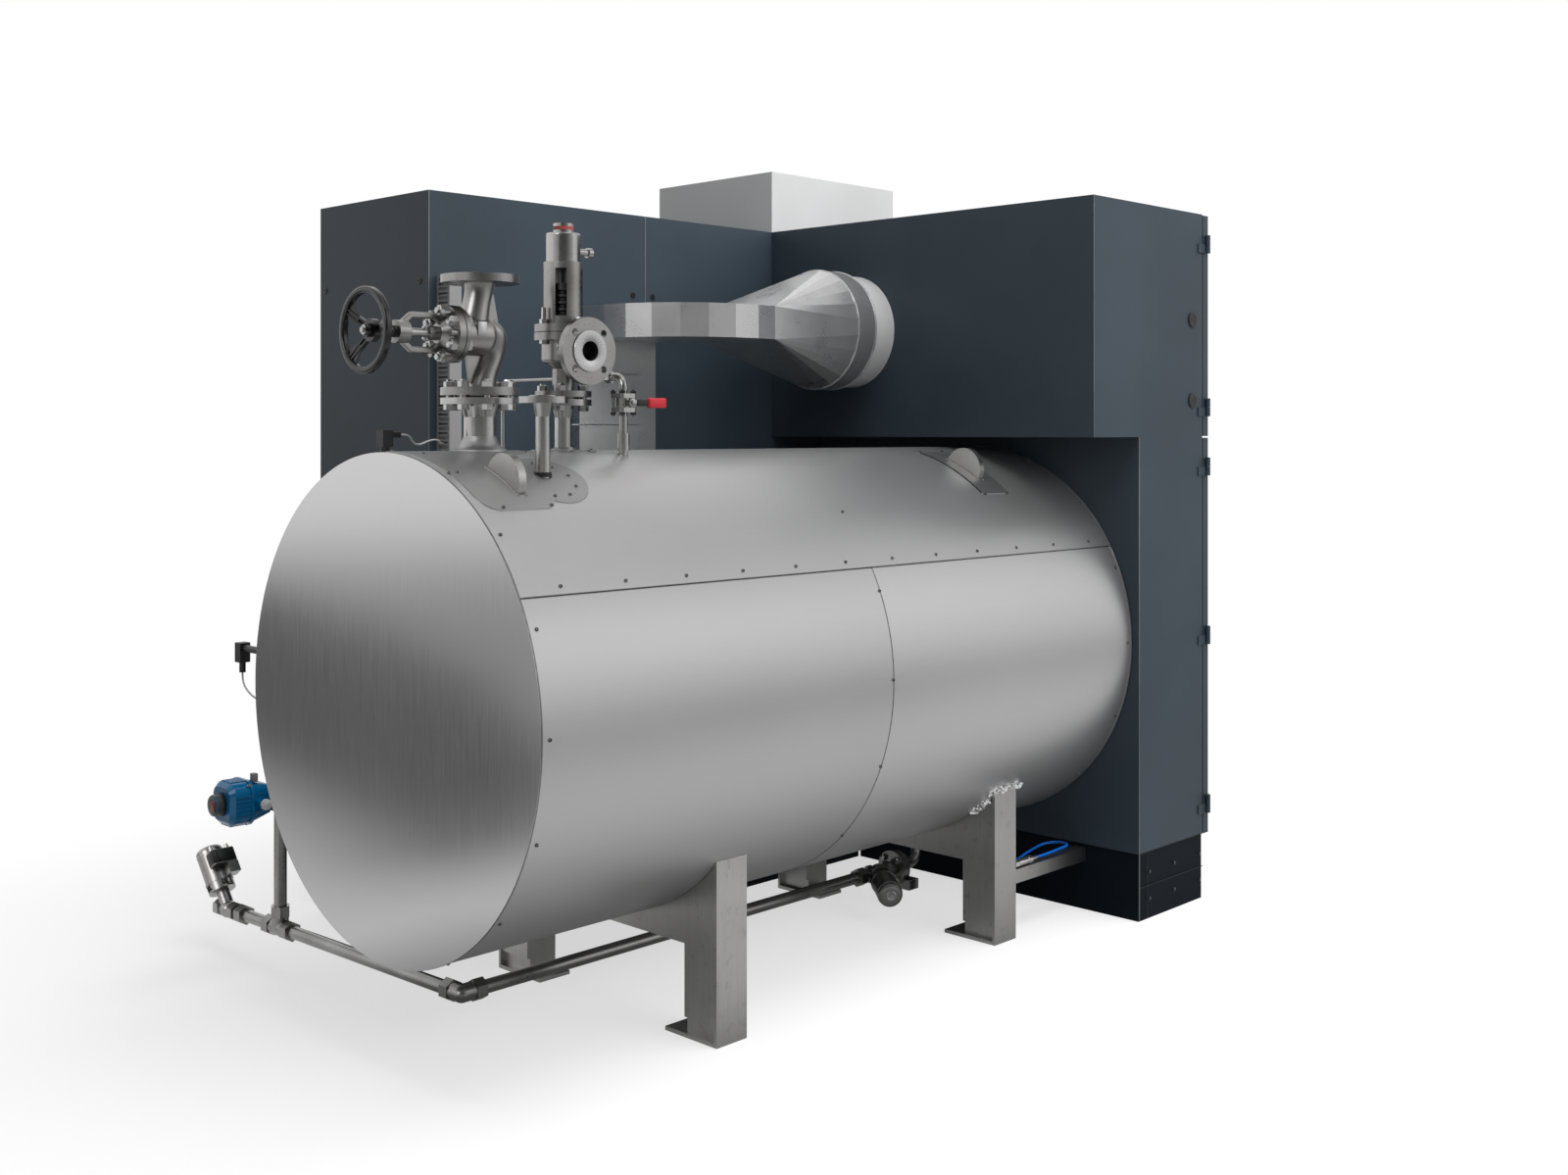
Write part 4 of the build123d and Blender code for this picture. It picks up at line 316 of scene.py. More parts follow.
# Camera, studio and floor
def add_camera():
    """A level view with a shifted frame."""
    heading = 0.76878
    data = bpy.data.cameras.new("view")
    data.lens = 37.916
    data.sensor_width = 36.0
    data.shift_x = 0.0022
    data.shift_y = -0.0988
    data.clip_end = 60.0
    camera = bpy.data.objects.new("view", data)
    camera.location = at(-2050.4, -3229.6, 1447.5)
    camera.rotation_euler = (math.pi / 2, 0.0, heading - math.pi / 2)
    bpy.context.scene.collection.objects.link(camera)
    bpy.context.scene.camera = camera


def add_lamp(name, place, target, size, power):
    """A rectangular lamp that metal doesn't mirror."""
    data = bpy.data.lights.new(name, "AREA")
    data.shape = "RECTANGLE"
    data.size, data.size_y = size
    data.energy = power
    lamp = bpy.data.objects.new(name, data)
    lamp.location = place
    lamp.visible_glossy = False
    lamp.rotation_euler = (target - place).to_track_quat("-Z", "Y").to_euler()
    bpy.context.scene.collection.objects.link(lamp)


def add_studio():
    """A world that the camera sees as white, metal as a toned room with windows, the rest as a soft fill."""
    world = bpy.data.worlds.new("studio")
    world.use_nodes = True
    sky = Tree(world.node_tree)
    ray = sky.node("TexCoord", {}, {}, "Generated")
    height = sky.node("SeparateXYZ", {}, {"Vector": ray}, "Z")
    # The room: a dome that darkens upwards, a pale far wall and a dark one behind the camera
    far_wall = sky.ramp(sky.dot(ray, FAR_WALL), 0.0, 0.5)
    lit = sky.ramp(sky.dot(ray, DARK_WALL), 0.95, 0.25) * 0.90 + 0.10
    dome = 0.80 - sky.ramp(height.absolute(), 0.10, 0.95) * 0.40
    room = (dome * (1.0 - far_wall) + far_wall * 0.95) * lit
    for way, glow in WINDOWS:
        room = room + sky.ramp(sky.dot(ray, way), WINDOW_EDGE, WINDOW_CORE) * glow
    fill = sky.ramp(sky.dot(ray, FILL_SIDE), -0.25, 1.0) * FILL_RISE + FILL_LOW
    glossy = sky.ray("Glossy")
    unseen = fill * (1.0 - glossy) + room * glossy
    seen = sky.ray("Camera")
    white = seen.math("MAXIMUM", seen, sky.ray("Transmission"))
    background = sky.tree.nodes["Background"]
    sky.feed(background.inputs["Color"], unseen * (1.0 - white) + white)
    background.inputs["Strength"].default_value = 1.0
    bpy.context.scene.world = world
    middle = at(1000, 0, 900)
    add_lamp("over", at(1300, -1600, 5200), middle, (4.5, 3.0), 155.0)
    add_lamp("right", at(1800, -5200, 2600), middle, (3.5, 3.5), 90.0)


def add_floor():
    """A floor that fades from pale to white for the camera, and that metal mirrors as a glow in tones of grey
    with painted shade.
    """
    floor = begin("plane", size=60.0, location=(0.0, 0.0, -0.0005))
    floor.name = "floor"
    finish = Finish("floor")
    x = finish.axis("X")
    y = finish.axis("Y")
    span = ((x * 0.75) ** 2.0 + y ** 2.0) ** 0.5
    pale = finish.node("BsdfDiffuse", {}, {"Color": grey(0.45)})
    glow = finish.node("Emission", {}, {"Color": grey(0.62)})
    near = finish.node("AddShader", {}, [pale, glow])
    white = finish.node("Emission", {}, {"Color": grey(1.0)})
    direct = finish.node("MixShader", {}, [finish.ramp(span, 1.2, 2.4), near, white])
    # What metal mirrors, a glow with painted shade: pale beside and ahead of the drum, darker under it as a
    # painted shadow, darker far off and in a painted dark band past the front disc
    along = (x + y * 0.35 + 2.49).absolute()
    band = (1.0 - finish.ramp(along, 0.40, 1.10)) * finish.ramp(y, 0.7, 1.3)
    # Darker near the drum's line: painted shadow of the drum in the mirrored floor
    beside = finish.ramp((y + 0.32).absolute(), 0.2, 0.95)
    ahead = 1.0 - finish.ramp(x, -2.6, -2.1)
    right_far = finish.ramp(y * -1.0, 2.0, 3.6) * 0.42
    left_far = finish.ramp(y, 1.2, 4.5) * 0.34
    tone = (beside + ahead).clamp() * 0.58 + 0.14 - left_far - band * 0.50 - right_far
    horizon = finish.ramp(span, 10.0, 22.0)
    tone = tone.clamp(0.13, 1.0) * (1.0 - horizon) + horizon * 0.92
    painted_reflection_glow = finish.node("Emission", {}, {"Color": tone})
    lit = finish.node("BsdfDiffuse", {}, {"Color": grey(0.40)})
    unseen = finish.node("MixShader", {}, [finish.ray("Glossy"), lit, painted_reflection_glow])
    shown = finish.node("MixShader", {}, [finish.ray("Camera"), unseen, direct])
    finish.feed(finish.tree.nodes["Material Output"].inputs["Surface"], shown)
    floor.data.materials.append(finish.material)


# Modelling moves
def begin(kind, **sizes):
    """Adds one primitive with everything else deselected."""
    bpy.ops.object.select_all(action="DESELECT")
    getattr(bpy.ops.mesh, "primitive_" + kind + "_add")(**sizes)
    piece = bpy.context.object
    bpy.ops.object.transform_apply(location=True, rotation=True, scale=True)
    return piece


def edit_all():
    """Enters edit mode with the whole model selected."""
    bpy.ops.object.mode_set(mode="EDIT")
    bpy.ops.mesh.select_all(action="SELECT")


def pick(piece, test):
    """Selects the faces, in edit mode, whose centre and normal pass a test."""
    bpy.ops.mesh.select_mode(type="FACE")
    bpy.ops.mesh.select_all(action="DESELECT")
    mesh = bmesh.from_edit_mesh(piece.data)
    for face in mesh.faces:
        face.select_set(bool(test(face.calc_center_median(), face.normal)))
    bmesh.update_edit_mesh(piece.data)


def settle(piece):
    """Leaves edit mode with doubles merged and normals that point outwards."""
    bpy.ops.mesh.select_all(action="SELECT")
    bpy.ops.mesh.remove_doubles(threshold=1e-6)
    bpy.ops.mesh.normals_make_consistent(inside=False)
    bpy.ops.object.mode_set(mode="OBJECT")
    return piece


def slab(low, high, edge=0.0, steps=2):
    """A block between two corners with rounded edges."""
    low, high = Vector(low), Vector(high)
    piece = begin("cube", size=1.0, location=(low + high) / 2, scale=high - low)
    edit_all()
    if edge:
        bpy.ops.mesh.bevel(offset=edge, offset_type="OFFSET", segments=steps, affect="EDGES")
    return settle(piece)


def plate(size, edge, steps=2):
    """A rounded block about the origin, given by its size and its edge in millimetres."""
    half = Vector(size) * MM / 2
    return slab(-half, half, edge * MM, steps)


def lathe(outline, sides=48):
    """A model turned about Z from (radius, height) points in millimetres.

    An outline that comes back to its first point makes a ring, and any other is closed by a disc at each end.
    """
    radius, height = outline[0]
    piece = begin("circle", vertices=sides, radius=radius * MM, location=(0.0, 0.0, height * MM))
    bpy.ops.object.mode_set(mode="EDIT")
    bpy.ops.mesh.select_mode(type="VERT")
    bpy.ops.mesh.select_all(action="SELECT")
    for next_radius, next_height in outline[1:]:
        rise = (0.0, 0.0, (next_height - height) * MM)
        bpy.ops.mesh.extrude_region_move(TRANSFORM_OT_translate={"value": rise})
        share = next_radius / radius
        bpy.ops.transform.resize(value=(share, share, 1.0), center_override=(0.0, 0.0, 0.0))
        radius, height = next_radius, next_height
    if outline[0] != outline[-1]:
        bpy.ops.mesh.edge_face_add()
        bpy.ops.mesh.select_all(action="DESELECT")
        bpy.ops.mesh.select_mode(type="EDGE")
        bpy.ops.mesh.select_non_manifold()
        bpy.ops.mesh.edge_face_add()
    return settle(piece)


def square_ring(inner, outer, half):
    """The outline of a ring with a rectangular section."""
    return [(inner, -half), (outer, -half), (outer, half), (inner, half), (inner, -half)]


def spun_bar(section_low, section_high, sweep, steps):
    """A bar bent round the drum's axis: a small upright rectangle spun through an angle in radians."""
    low, high = Vector(section_low), Vector(section_high)
    middle = (low + high) / 2
    piece = begin("plane", size=1.0, location=(0.0, 0.0, 0.0))
    edit_all()
    bpy.ops.transform.resize(value=(high.x - low.x, 1.0, 1.0), center_override=(0.0, 0.0, 0.0))
    bpy.ops.transform.resize(value=(1.0, high.y - low.y, 1.0), center_override=(0.0, 0.0, 0.0))
    bpy.ops.transform.translate(value=(middle.x, middle.y, DRUM_Z))
    bpy.ops.mesh.spin(steps=steps, angle=sweep, center=(0.0, DRUM_Y, DRUM_Z), axis=(1.0, 0.0, 0.0))
    return settle(piece)


def facing(point, direction, turn=0.0):
    """The place of a model whose Z axis looks along a direction."""
    way = Vector(direction).normalized().to_track_quat("Z", "Y").to_matrix().to_4x4()
    return Matrix.Translation(point) @ way @ Matrix.Rotation(turn, 4, "Z")


def joined(pieces):
    """Makes one object of several, with its place in its mesh."""
    bpy.ops.object.select_all(action="DESELECT")
    for piece in pieces:
        piece.select_set(True)
    bpy.context.view_layer.objects.active = pieces[0]
    if len(pieces) > 1:
        bpy.ops.object.join()
    bpy.ops.object.transform_apply(location=True, rotation=True, scale=True)
    return bpy.context.object


def moved(piece, place):
    """Moves a model to its place and keeps the place in its mesh."""
    piece.matrix_world = place
    return joined([piece])


def turned(outline, sides, place):
    """A lathe model at its place."""
    return moved(lathe(outline, sides), place)


def rolled(piece, degrees):
    """Turns a piece about the drum's axis."""
    centre = Vector((0, DRUM_Y, DRUM_Z))
    turn = Matrix.Rotation(math.radians(degrees), 4, "X")
    return moved(piece, Matrix.Translation(centre) @ turn @ Matrix.Translation(-centre))


def spread(model, places):
    """Copies a model to all its places as one mesh, and takes the model away."""
    copies = []
    for place in places:
        copy = model.copy()
        copy.data = model.data.copy()
        copy.matrix_world = place
        bpy.context.scene.collection.objects.link(copy)
        copies.append(copy)
    bpy.data.objects.remove(model)
    return joined(copies)


def keep(piece, name, slot, body="boiler", finish=None, smooth=40.0):
    """Names a finished piece, smooths its shallow edges, gives it its material and its body."""
    piece.name = name
    piece.data.name = name
    bpy.ops.object.select_all(action="DESELECT")
    piece.select_set(True)
    bpy.context.view_layer.objects.active = piece
    bpy.ops.object.shade_smooth_by_angle(angle=math.radians(smooth))
    piece.data.materials.clear()
    piece.data.materials.append(finishes[finish or slot])
    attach(piece, body)
    return piece


# Fasteners, with sizes in millimetres
def hex_nut(across, height, tip=0.0, tip_radius=0.0, washer=0.0):
    """A hexagon with a crowned top, on a washer, with the stud's end standing out of it where it has one."""
    radius = across / math.sqrt(3.0) * MM
    middle = (0, 0, (height / 2 + washer) * MM)
    piece = begin("cylinder", vertices=6, radius=radius, depth=height * MM, location=middle)
    bpy.ops.object.mode_set(mode="EDIT")
    pick(piece, lambda centre, normal: normal.z > 0.9)
    bpy.ops.mesh.inset(thickness=radius * 0.13, depth=height * 0.09 * MM)
    if tip:
        bpy.ops.mesh.inset(thickness=max(radius * 0.87 - tip_radius * MM * 1.15, radius * 0.1), depth=0.0)
        bpy.ops.mesh.extrude_region_move(TRANSFORM_OT_translate={"value": (0, 0, tip * MM)})
        bpy.ops.transform.resize(value=(0.9, 0.9, 1.0))
    settle(piece)
    if not washer:
        return piece
    ring = lathe([(across * 0.60, 0.0), (across * 0.62, washer * 0.4), (across * 0.60, washer)], 20)
    return joined([piece, ring])


def dome_screw(radius, height):
    """A low round head with a socket, on a thin washer."""
    washer = [(radius * 1.25, 0.0), (radius * 1.25, height * 0.22)]
    head = [(radius, height * 0.26), (radius * 0.96, height * 0.7), (radius * 0.68, height)]
    socket = [(radius * 0.42, height), (radius * 0.36, height * 0.45)]
    return lathe(washer + head + socket, 14)


def on_drum(x, angle, radius):
    """A place on the drum's skin and the way out of it: angle in degrees up from the near side."""
    turn = math.radians(angle)
    out = (0.0, -math.cos(turn), math.sin(turn))
    return at(x, radius * out[1], DRUM_AXIS + radius * out[2]), out


def cover_angle(y):
    """The angle at which the cover sheets lie this far across the drum."""
    return math.degrees(math.acos(-y / COVER_SKIN))


def ring_places(centre, direction, circle, count, first=0.0, reach=0.0):
    """Places on a bolt circle round an axis, moved along the axis by a reach in millimetres."""
    frame_at = facing(centre, direction)
    places = []
    for i in range(count):
        turn = math.radians(first + 360.0 * i / count)
        offset = Vector((math.cos(turn) * circle * MM, math.sin(turn) * circle * MM, reach * MM))
        places.append(frame_at @ Matrix.Translation(offset) @ Matrix.Rotation(turn * 3.0, 4, "Z"))
    return places


def keep_bolts(model, places, name):
    """Spreads bright bolts or nuts to their places and keeps them as one piece."""
    keep(spread(model, places), name, "turned_steel", finish="bright_bolt")


def cord(name, route, radius, slot, nodes):
    """A smooth cable or hose along its route, in place of its solid."""
    data = bpy.data.curves.new(name, "CURVE")
    data.dimensions = "3D"
    data.resolution_u = 10
    data.bevel_depth = radius * MM
    data.bevel_resolution = 4
    data.use_fill_caps = True
    line = data.splines.new("NURBS")
    line.points.add(len(route) - 1)
    for point, place in zip(line.points, route):
        point.co = (*at(*place), 1.0)
    line.order_u = 3
    line.use_endpoint_u = True
    piece = bpy.data.objects.new(name, data)
    bpy.context.scene.collection.objects.link(piece)
    data.materials.append(finishes[slot])
    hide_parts(*nodes)
    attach(piece, "boiler")
    length = sum((at(*a) - at(*b)).length for a, b in zip(route, route[1:]))
    tuple(at(*route[0]))
    return piece


def add_cords():
    cord("signal_cable",
         [(141, 150, 1443), (158, 150, 1443), (184, 172, 1438), (214, 208, 1428), (250, 252, 1420),
          (290, 294, 1417), (330, 337, 1420), (370, 379, 1424), (410, 422, 1427), (451, 464, 1429),
          (485, 505, 1428), (518, 542, 1426), (550, 584, 1423), (574, 622, 1420), (588, 645, 1418),
          (599, 651, 1418), (607, 651, 1418)],
         2.5, "cable_sheath", ["top_sensor_cable"])
    cord("side_lead",
         [(25, 689, 836), (25, 689, 819), (26, 681, 802), (28, 663, 787), (30, 637, 776), (33, 607, 771),
          (33, 579, 771)],
         2.5, "white_cable", ["side_sensor_cable"])
    x, y, z = 1950, -402, 202.8
    cord("blue_hose",
         [(x, y, z), (x + 42, y, z), (x + 86, y - 1, z + 2), (x + 128, y, z + 4), (x + 163, y, z + 5),
          (x + 189, y + 26, z + 4), (x + 189, y + 62, z + 1), (x + 163, y + 88, z - 4),
          (x + 124, y + 89, z - 9), (x + 84, y + 90, z - 16), (x + 40, y + 88, z - 25),
          (x - 2, y + 87, z - 32), (x - 42, y + 86, z - 35), (x - 72, y + 86, z - 36),
          (x - 100, y + 87, z - 37), (1817, y + 87, z - 37)],
         4.0, "hose_blue", ["air_hose"])


# The drum's skin: screws, seam edges and the collars round the nozzles
def add_skin_screws():
    """Screws above the long seams, round the drum's two ends and beside the lap of its sheets."""
    seam_first, seam_pitch, seam_angle = 116, 179, 31.3
    ends = (24, LENGTH - 25)
    low_angles = (-67.5, -45, -22.5, 0, 22.5)
    spots = [(seam_first + seam_pitch * i, angle, TOP_SKIN)
             for angle in (seam_angle, 180.0 - seam_angle) for i in range(12)]
    spots += [(x, angle, DRUM_SKIN) for x in ends for angle in low_angles]
    spots += [(x, 180 - angle, DRUM_SKIN) for x in ends for angle in low_angles]
    spots += [(x, angle, TOP_SKIN) for x in ends for angle in (45, 67.5, 112.5, 135)]
    spots += [(LAP_X, angle, DRUM_SKIN) for angle in (23, 0.6, -22, -45.5, 157, 179.4, 202, 225.5)]
    spots += [(LAP_X + 7, angle, TOP_SKIN) for angle in (46.4, 133.6)]
    places = [facing(*on_drum(*spot)) for spot in spots]
    keep(spread(dome_screw(3.7, 3.6), places), "skin_screws", "turned_steel", finish="dark_screw")


def add_cover_screws():
    """Screws along the edges of the cover sheets and round the safety nozzle."""
    front = [(75, 52.9), (205, 53.0), (236, 56.2), (280, 56.5), (319, 59.7), (331, 64.5), (317, 69.1),
             (280, 71.9), (236, 71.8), (45, 67.4), (60, 83.0), (352, 84.0), (360, 92.0), (45, 93.0),
             (330, 98.0), (200, 95.0)]
    rear = [(1748, 77.2), (1852, 77.2), (1748, 50.4), (1852, 50.4)]
    circle = 72
    ring = []
    for i in range(8):
        turn = math.radians(22.5 + 45.0 * i)
        ring.append((SAFETY_X + circle * math.cos(turn), cover_angle(circle * math.sin(turn))))
    places = [facing(*on_drum(x, angle, COVER_SKIN)) for x, angle in front + rear + ring]
    keep(spread(dome_screw(3.7, 3.4), places), "cover_screws", "turned_steel", finish="dark_screw")


def add_skin_edges():
    """The strips at the drum's two ends, the long seams, the lap of the lower sheets and a cover's joint."""
    strip = 3.0
    bars = []
    for x in (1.0, LENGTH - 1.0 - strip):
        low, high = at(x, -DRUM_SKIN - 2.6, 0), at(x + strip, -DRUM_SKIN + 0.5, 0)
        bars.append(spun_bar(low, high, 2 * math.pi, 120))
    keep(joined(bars), "end_strips", "brushed_cladding", finish="sheet_edge")
    seam_turn = math.radians(29.3)
    radius = DRUM_SKIN + 1.2
    half = Vector((LENGTH - 12, 1.6, 1.2)) * MM / 2
    lines = []
    for side in (-1, 1):
        middle = at(LENGTH / 2, side * radius * math.cos(seam_turn), DRUM_AXIS + radius * math.sin(seam_turn))
        lines.append(slab(middle - half, middle + half))
    keep(joined(lines), "seam_lines", "brushed_cladding", finish="joint_and_shade_dark")
    low, high = at(LAP_X + 1.2, -DRUM_SKIN - 1.0, 0), at(LAP_X + 2.6, -DRUM_SKIN + 0.3, 0)
    lap = rolled(spun_bar(low, high, -math.radians(360 - 2 * 60.5), 90), -29.5)
    keep(lap, "lap_line", "brushed_cladding", finish="sheet_edge")
    low, high = at(1736.4, -COVER_SKIN - 0.4, 0), at(1738.4, -COVER_SKIN + 2.0, 0)
    gap = rolled(spun_bar(low, high, math.radians(25.0), 30), -51.0)
    keep(gap, "rear_cover_gap", "cover_sheet", finish="joint_and_shade_dark")


def add_nozzle_collars():
    """The flared sheet collars of the steam and safety nozzles, and the sealant round the feed nozzle."""
    top = DRUM_AXIS + COVER_SKIN
    steam = turned([(66, -3), (64, 2), (53, 6), (46, 14), (41, 26), (38.6, 34), (38.2, 34), (38.2, -3)], 64,
                   facing(at(STEAM_X, 0, top), UP))
    safety = turned([(30, -2), (29.5, 2.5), (24, 4), (21.4, 7), (21.2, 7), (21.2, -2)], 48,
                    facing(at(SAFETY_X, 0, top), UP))
    keep(joined([steam, safety]), "nozzle_collars", "cover_sheet")
    spot = on_drum(STEAM_X, cover_angle(FEED_Y), COVER_SKIN)[0]
    sealant = turned([(21.0, -6), (20.6, 3), (17.5, 5), (17.0, 5), (17.0, -6)], 40, facing(spot, UP))
    keep(sealant, "feed_sealant", "cover_sheet", finish="joint_and_shade_dark")


def add_lug_welds():
    """Weld beads along both faces of the two lifting lugs."""
    count, pitch, middle = 26, 0.53, 63.5
    places = []
    for x in (150.0, 1800.0):
        for i in range(count):
            angle = middle + (i - (count - 1) / 2) * pitch
            for side in (-11.0, 11.0):
                spot, out = on_drum(x + side + 0.5 * math.sin(i * 2.3), angle, COVER_SKIN)
                places.append(facing(spot, out, i * 0.7))
    bead = lathe([(4.2, -1.5), (4.0, 0.6), (2.6, 2.2), (1.0, 2.8)], 10)
    keep(spread(bead, places), "lug_welds", "frame_steel", finish="weld_bead")


# Bolts, nuts and gaskets
def add_flange_bolts():
    """Bolts and nuts of the flanges, the bonnets, the gland, the drain's end and the ball valve."""
    steam, safety = at(STEAM_X, 0, JOINT_Z), at(SAFETY_X, 0, JOINT_Z)
    steam_ring, safety_ring = (STEAM_CIRCLE, 8, 22.5), (SAFETY_CIRCLE, 4, SQUARE)
    heads = ring_places(steam, DOWN, *steam_ring, 18.0) + ring_places(safety, DOWN, *safety_ring, 18.0)
    keep_bolts(hex_nut(24, 13), heads, "flange_bolt_heads")
    nuts = ring_places(steam, UP, *steam_ring, 22.0) + ring_places(safety, UP, *safety_ring, 18.0)
    keep_bolts(hex_nut(24, 13, 4, 7.5), nuts, "flange_nuts")
    shanks = ring_places(steam, UP, *steam_ring, -4.0) + ring_places(safety, UP, *safety_ring, -4.0)
    keep(spread(lathe([(7.9, 0), (7.9, 4), (7.9, 8)], 16), shanks), "bolt_shanks", "turned_steel")
    bonnet = ring_places(at(163, 0, VALVE_MID_Z), BACK, BONNET_CIRCLE, 6, 30.0, 0.2)
    keep_bolts(hex_nut(24, 13, 7, 8.0), bonnet, "bonnet_nuts")
    back = ring_places(at(194, 0, VALVE_MID_Z), ALONG, BONNET_CIRCLE, 6, 30.0)
    keep_bolts(hex_nut(24, 9), back, "bonnet_bolt_heads")
    gland = [facing(at(118, 0, VALVE_MID_Z + z), BACK) for z in (-12.5, 12.5)]
    keep_bolts(hex_nut(13, 7, 5, 3.8), gland, "gland_nuts")
    lid = ring_places(at(SAFETY_X, 0, LID_Z), UP, LID_CIRCLE, 4, 0.0, 20.0)
    keep_bolts(hex_nut(19, 11, 5, 5.8), lid[1:], "lid_nuts")
    keep_bolts(hex_nut(19, 11, 28, 5.8), lid[:1], "lid_long_stud")
    under = ring_places(at(SAFETY_X, 0, LID_Z), DOWN, LID_CIRCLE, 4, 0.0, 20.0)
    keep_bolts(hex_nut(19, 9), under, "lid_bolt_heads")
    drain = ring_places(at(1819, DRAIN_Y, DRAIN_Z), BACK, 40.0, 4, SQUARE)
    drain += ring_places(at(1847.3, DRAIN_Y, DRAIN_Z), ALONG, 40.0, 4, SQUARE)
    keep_bolts(hex_nut(18, 10), drain, "drain_flange_bolts")
    ball = [facing(at(LEVER_X + dx * 17.5, -104 + dy * 17.5, LEVER_Z + side * 23.2), (0, 0, side))
            for dx in (-1, 1) for dy in (-1, 1) for side in (-1, 1)]
    keep(spread(hex_nut(12, 6, 3, 3.4), ball), "ball_valve_bolts", "turned_steel", finish="dark_screw")
    stem = [facing(at(LEVER_X, -141.6, LEVER_Z), NEAR)]
    keep(spread(hex_nut(12, 4.6), stem), "lever_nut", "lever_red", "lever", finish="bright_bolt")


def add_gaskets():
    """The dark edges of the gaskets in the flange joints."""
    rings = []
    for x, z, inner, outer in ((STEAM_X, JOINT_Z, 61.2, 63.5), (SAFETY_X, JOINT_Z, 39.4, 41.5),
                               (SAFETY_X, LID_Z, 72.05, 72.35)):
        rings.append(turned(square_ring(inner, outer, 1), 64, facing(at(x, 0, z), UP)))
    rings.append(turned(square_ring(67.05, 67.5, 1), 64, facing(at(182, 0, VALVE_MID_Z), BACK)))
    keep(joined(rings), "gaskets", "valve_casting", finish="joint_and_shade_dark")


def add_turned_faces():
    """The outlet's bright sealing face, its bore lined in near-black as painted shade, and the band round the
    safety valve's cap.
    """
    outlet = facing(at(SAFETY_X, -106, 1646), NEAR)
    rim = [(50.4, 0.05), (50.0, 0.8), (46, 1.0), (26.5, 0.9), (24.7, 0.2), (24.7, 0.05), (50.4, 0.05)]
    face = turned(rim, 96, outlet)
    keep(face, "outlet_face", "turned_steel", finish="bright_face")
    # A near-black sleeve inside the bore: painted shade in the hollow
    bore = turned([(24.3, -30.0), (24.3, 0.4), (23.4, 0.4), (23.4, -30.0), (24.3, -30.0)], 64, outlet)
    keep(bore, "outlet_bore_shade", "valve_casting", finish="joint_and_shade_dark")
    band = turned(square_ring(25.05, 25.7, 4.35), 48, facing(at(SAFETY_X, 0, 1952), UP))
    keep(band, "crown_band", "lever_red", finish="band_red")


def add_casting_pads():
    """The raised pads on the valve castings, with plain, bare faces."""
    pads = [moved(plate((26, 34, 4), 1.4), facing(at(236, -49.5, 1690), NEAR)),
            moved(plate((30, 26, 4), 1.4), facing(at(SAFETY_X - 34, -42, 1650), (-0.6, -0.8, 0)))]
    keep(joined(pads), "casting_pads", "valve_casting", finish="bright_face")


def add_stem_sleeve():
    """The threaded sleeve behind the handwheel."""
    sleeve = turned([(10.1, 0), (13.5, 0), (14, 1), (14, 12), (13, 13), (11.4, 14), (11.4, 26), (10.1, 26),
                     (10.1, 0)], 40, facing(at(30, 0, VALVE_MID_Z), BACK))
    keep(sleeve, "stem_sleeve", "black_iron", "wheel")


# Cabinets and housings
def add_cabinet_trim():
    """The thin edges and corner lines, bright as painted highlights, and the plugs of the cabinet row and the
    housings.
    """
    top, foot = 2126.0, 200.0
    # Thin bright strips on the cabinet and housing edges: painted edge highlights
    edges = [slab(at(x + 0.2, FAR_FACE_Y - 0.3, foot), at(x + 3.0, FAR_FACE_Y + 2.0, top), 0.0006)
             for x in (CABINET_X, CABINET_X + 800.0)]
    edges.append(slab(at(UPPER_HOUSING_X, NEAR_FACE_Y, LOWER_HOUSING_Z),
                      at(UPPER_HOUSING_X + 2.0, NEAR_FACE_Y + 2.0, top), 0.0006))
    keep(joined(edges), "cabinet_edge_highlights", "cabinet_paint", finish="painted_edge_highlight")
    # Lighter lines down two housing corners: painted corner highlights
    corners = [slab(at(LENGTH - 0.3, NEAR_FACE_Y - 0.6, 3),
                    at(LENGTH + 1.8, NEAR_FACE_Y + 1.4, LOWER_HOUSING_Z), 0.0005),
               slab(at(UPPER_HOUSING_X + 0.6, NEAR_FACE_Y - 0.6, LOWER_HOUSING_Z),
                    at(UPPER_HOUSING_X + 2.2, NEAR_FACE_Y + 0.6, top - 2.0), 0.0005)]
    keep(joined(corners), "corner_lines", "cabinet_paint", finish="painted_corner_highlight")
    plugs = [facing(at(CABINET_X, 1228, 1876), BACK), facing(at(CABINET_X, 726, 1874), BACK),
             facing(at(1331, FAR_FACE_Y, 1875), NEAR), facing(at(1413, FAR_FACE_Y, 1875), NEAR)]
    plug = lathe([(9.5, 0), (9.5, 1.6), (8.4, 2.6), (4.2, 2.6), (3.6, 1.0)], 24)
    keep(spread(plug, plugs), "cabinet_plugs", "cabinet_paint", finish="black_plastic")
    round_plugs = [facing(at(2494, NEAR_FACE_Y, z), NEAR) for z in (1795, 1547)]
    cap = lathe([(24, 0), (24, 2.2), (22, 4.4), (15, 4.8), (14, 3.6), (5, 3.6), (4, 4.6)], 40)
    keep(spread(cap, round_plugs), "housing_plugs", "cabinet_paint", finish="black_plastic")


def add_plinth_lines():
    """The joints and screws of the plinths, and the gap line of the lower housing."""
    y = NEAR_FACE_Y
    lines = [slab(at(2235, y - 0.6, 4), at(2237, y + 0.6, 196)),
             slab(at(2192.5, y - 0.5, 99), at(2557, y + 0.5, 101)),
             slab(at(2192.5, y - 0.6, 200), at(2590, y + 0.8, 202.4))]
    keep(joined(lines), "plinth_lines", "plinth_paint", finish="joint_and_shade_dark")
    spots = [facing(at(x, y, z), NEAR) for x in (2250, 2390, 2540) for z in (60, 140)]
    keep(spread(dome_screw(4.0, 3.0), spots), "plinth_screws", "turned_steel", finish="dark_screw")


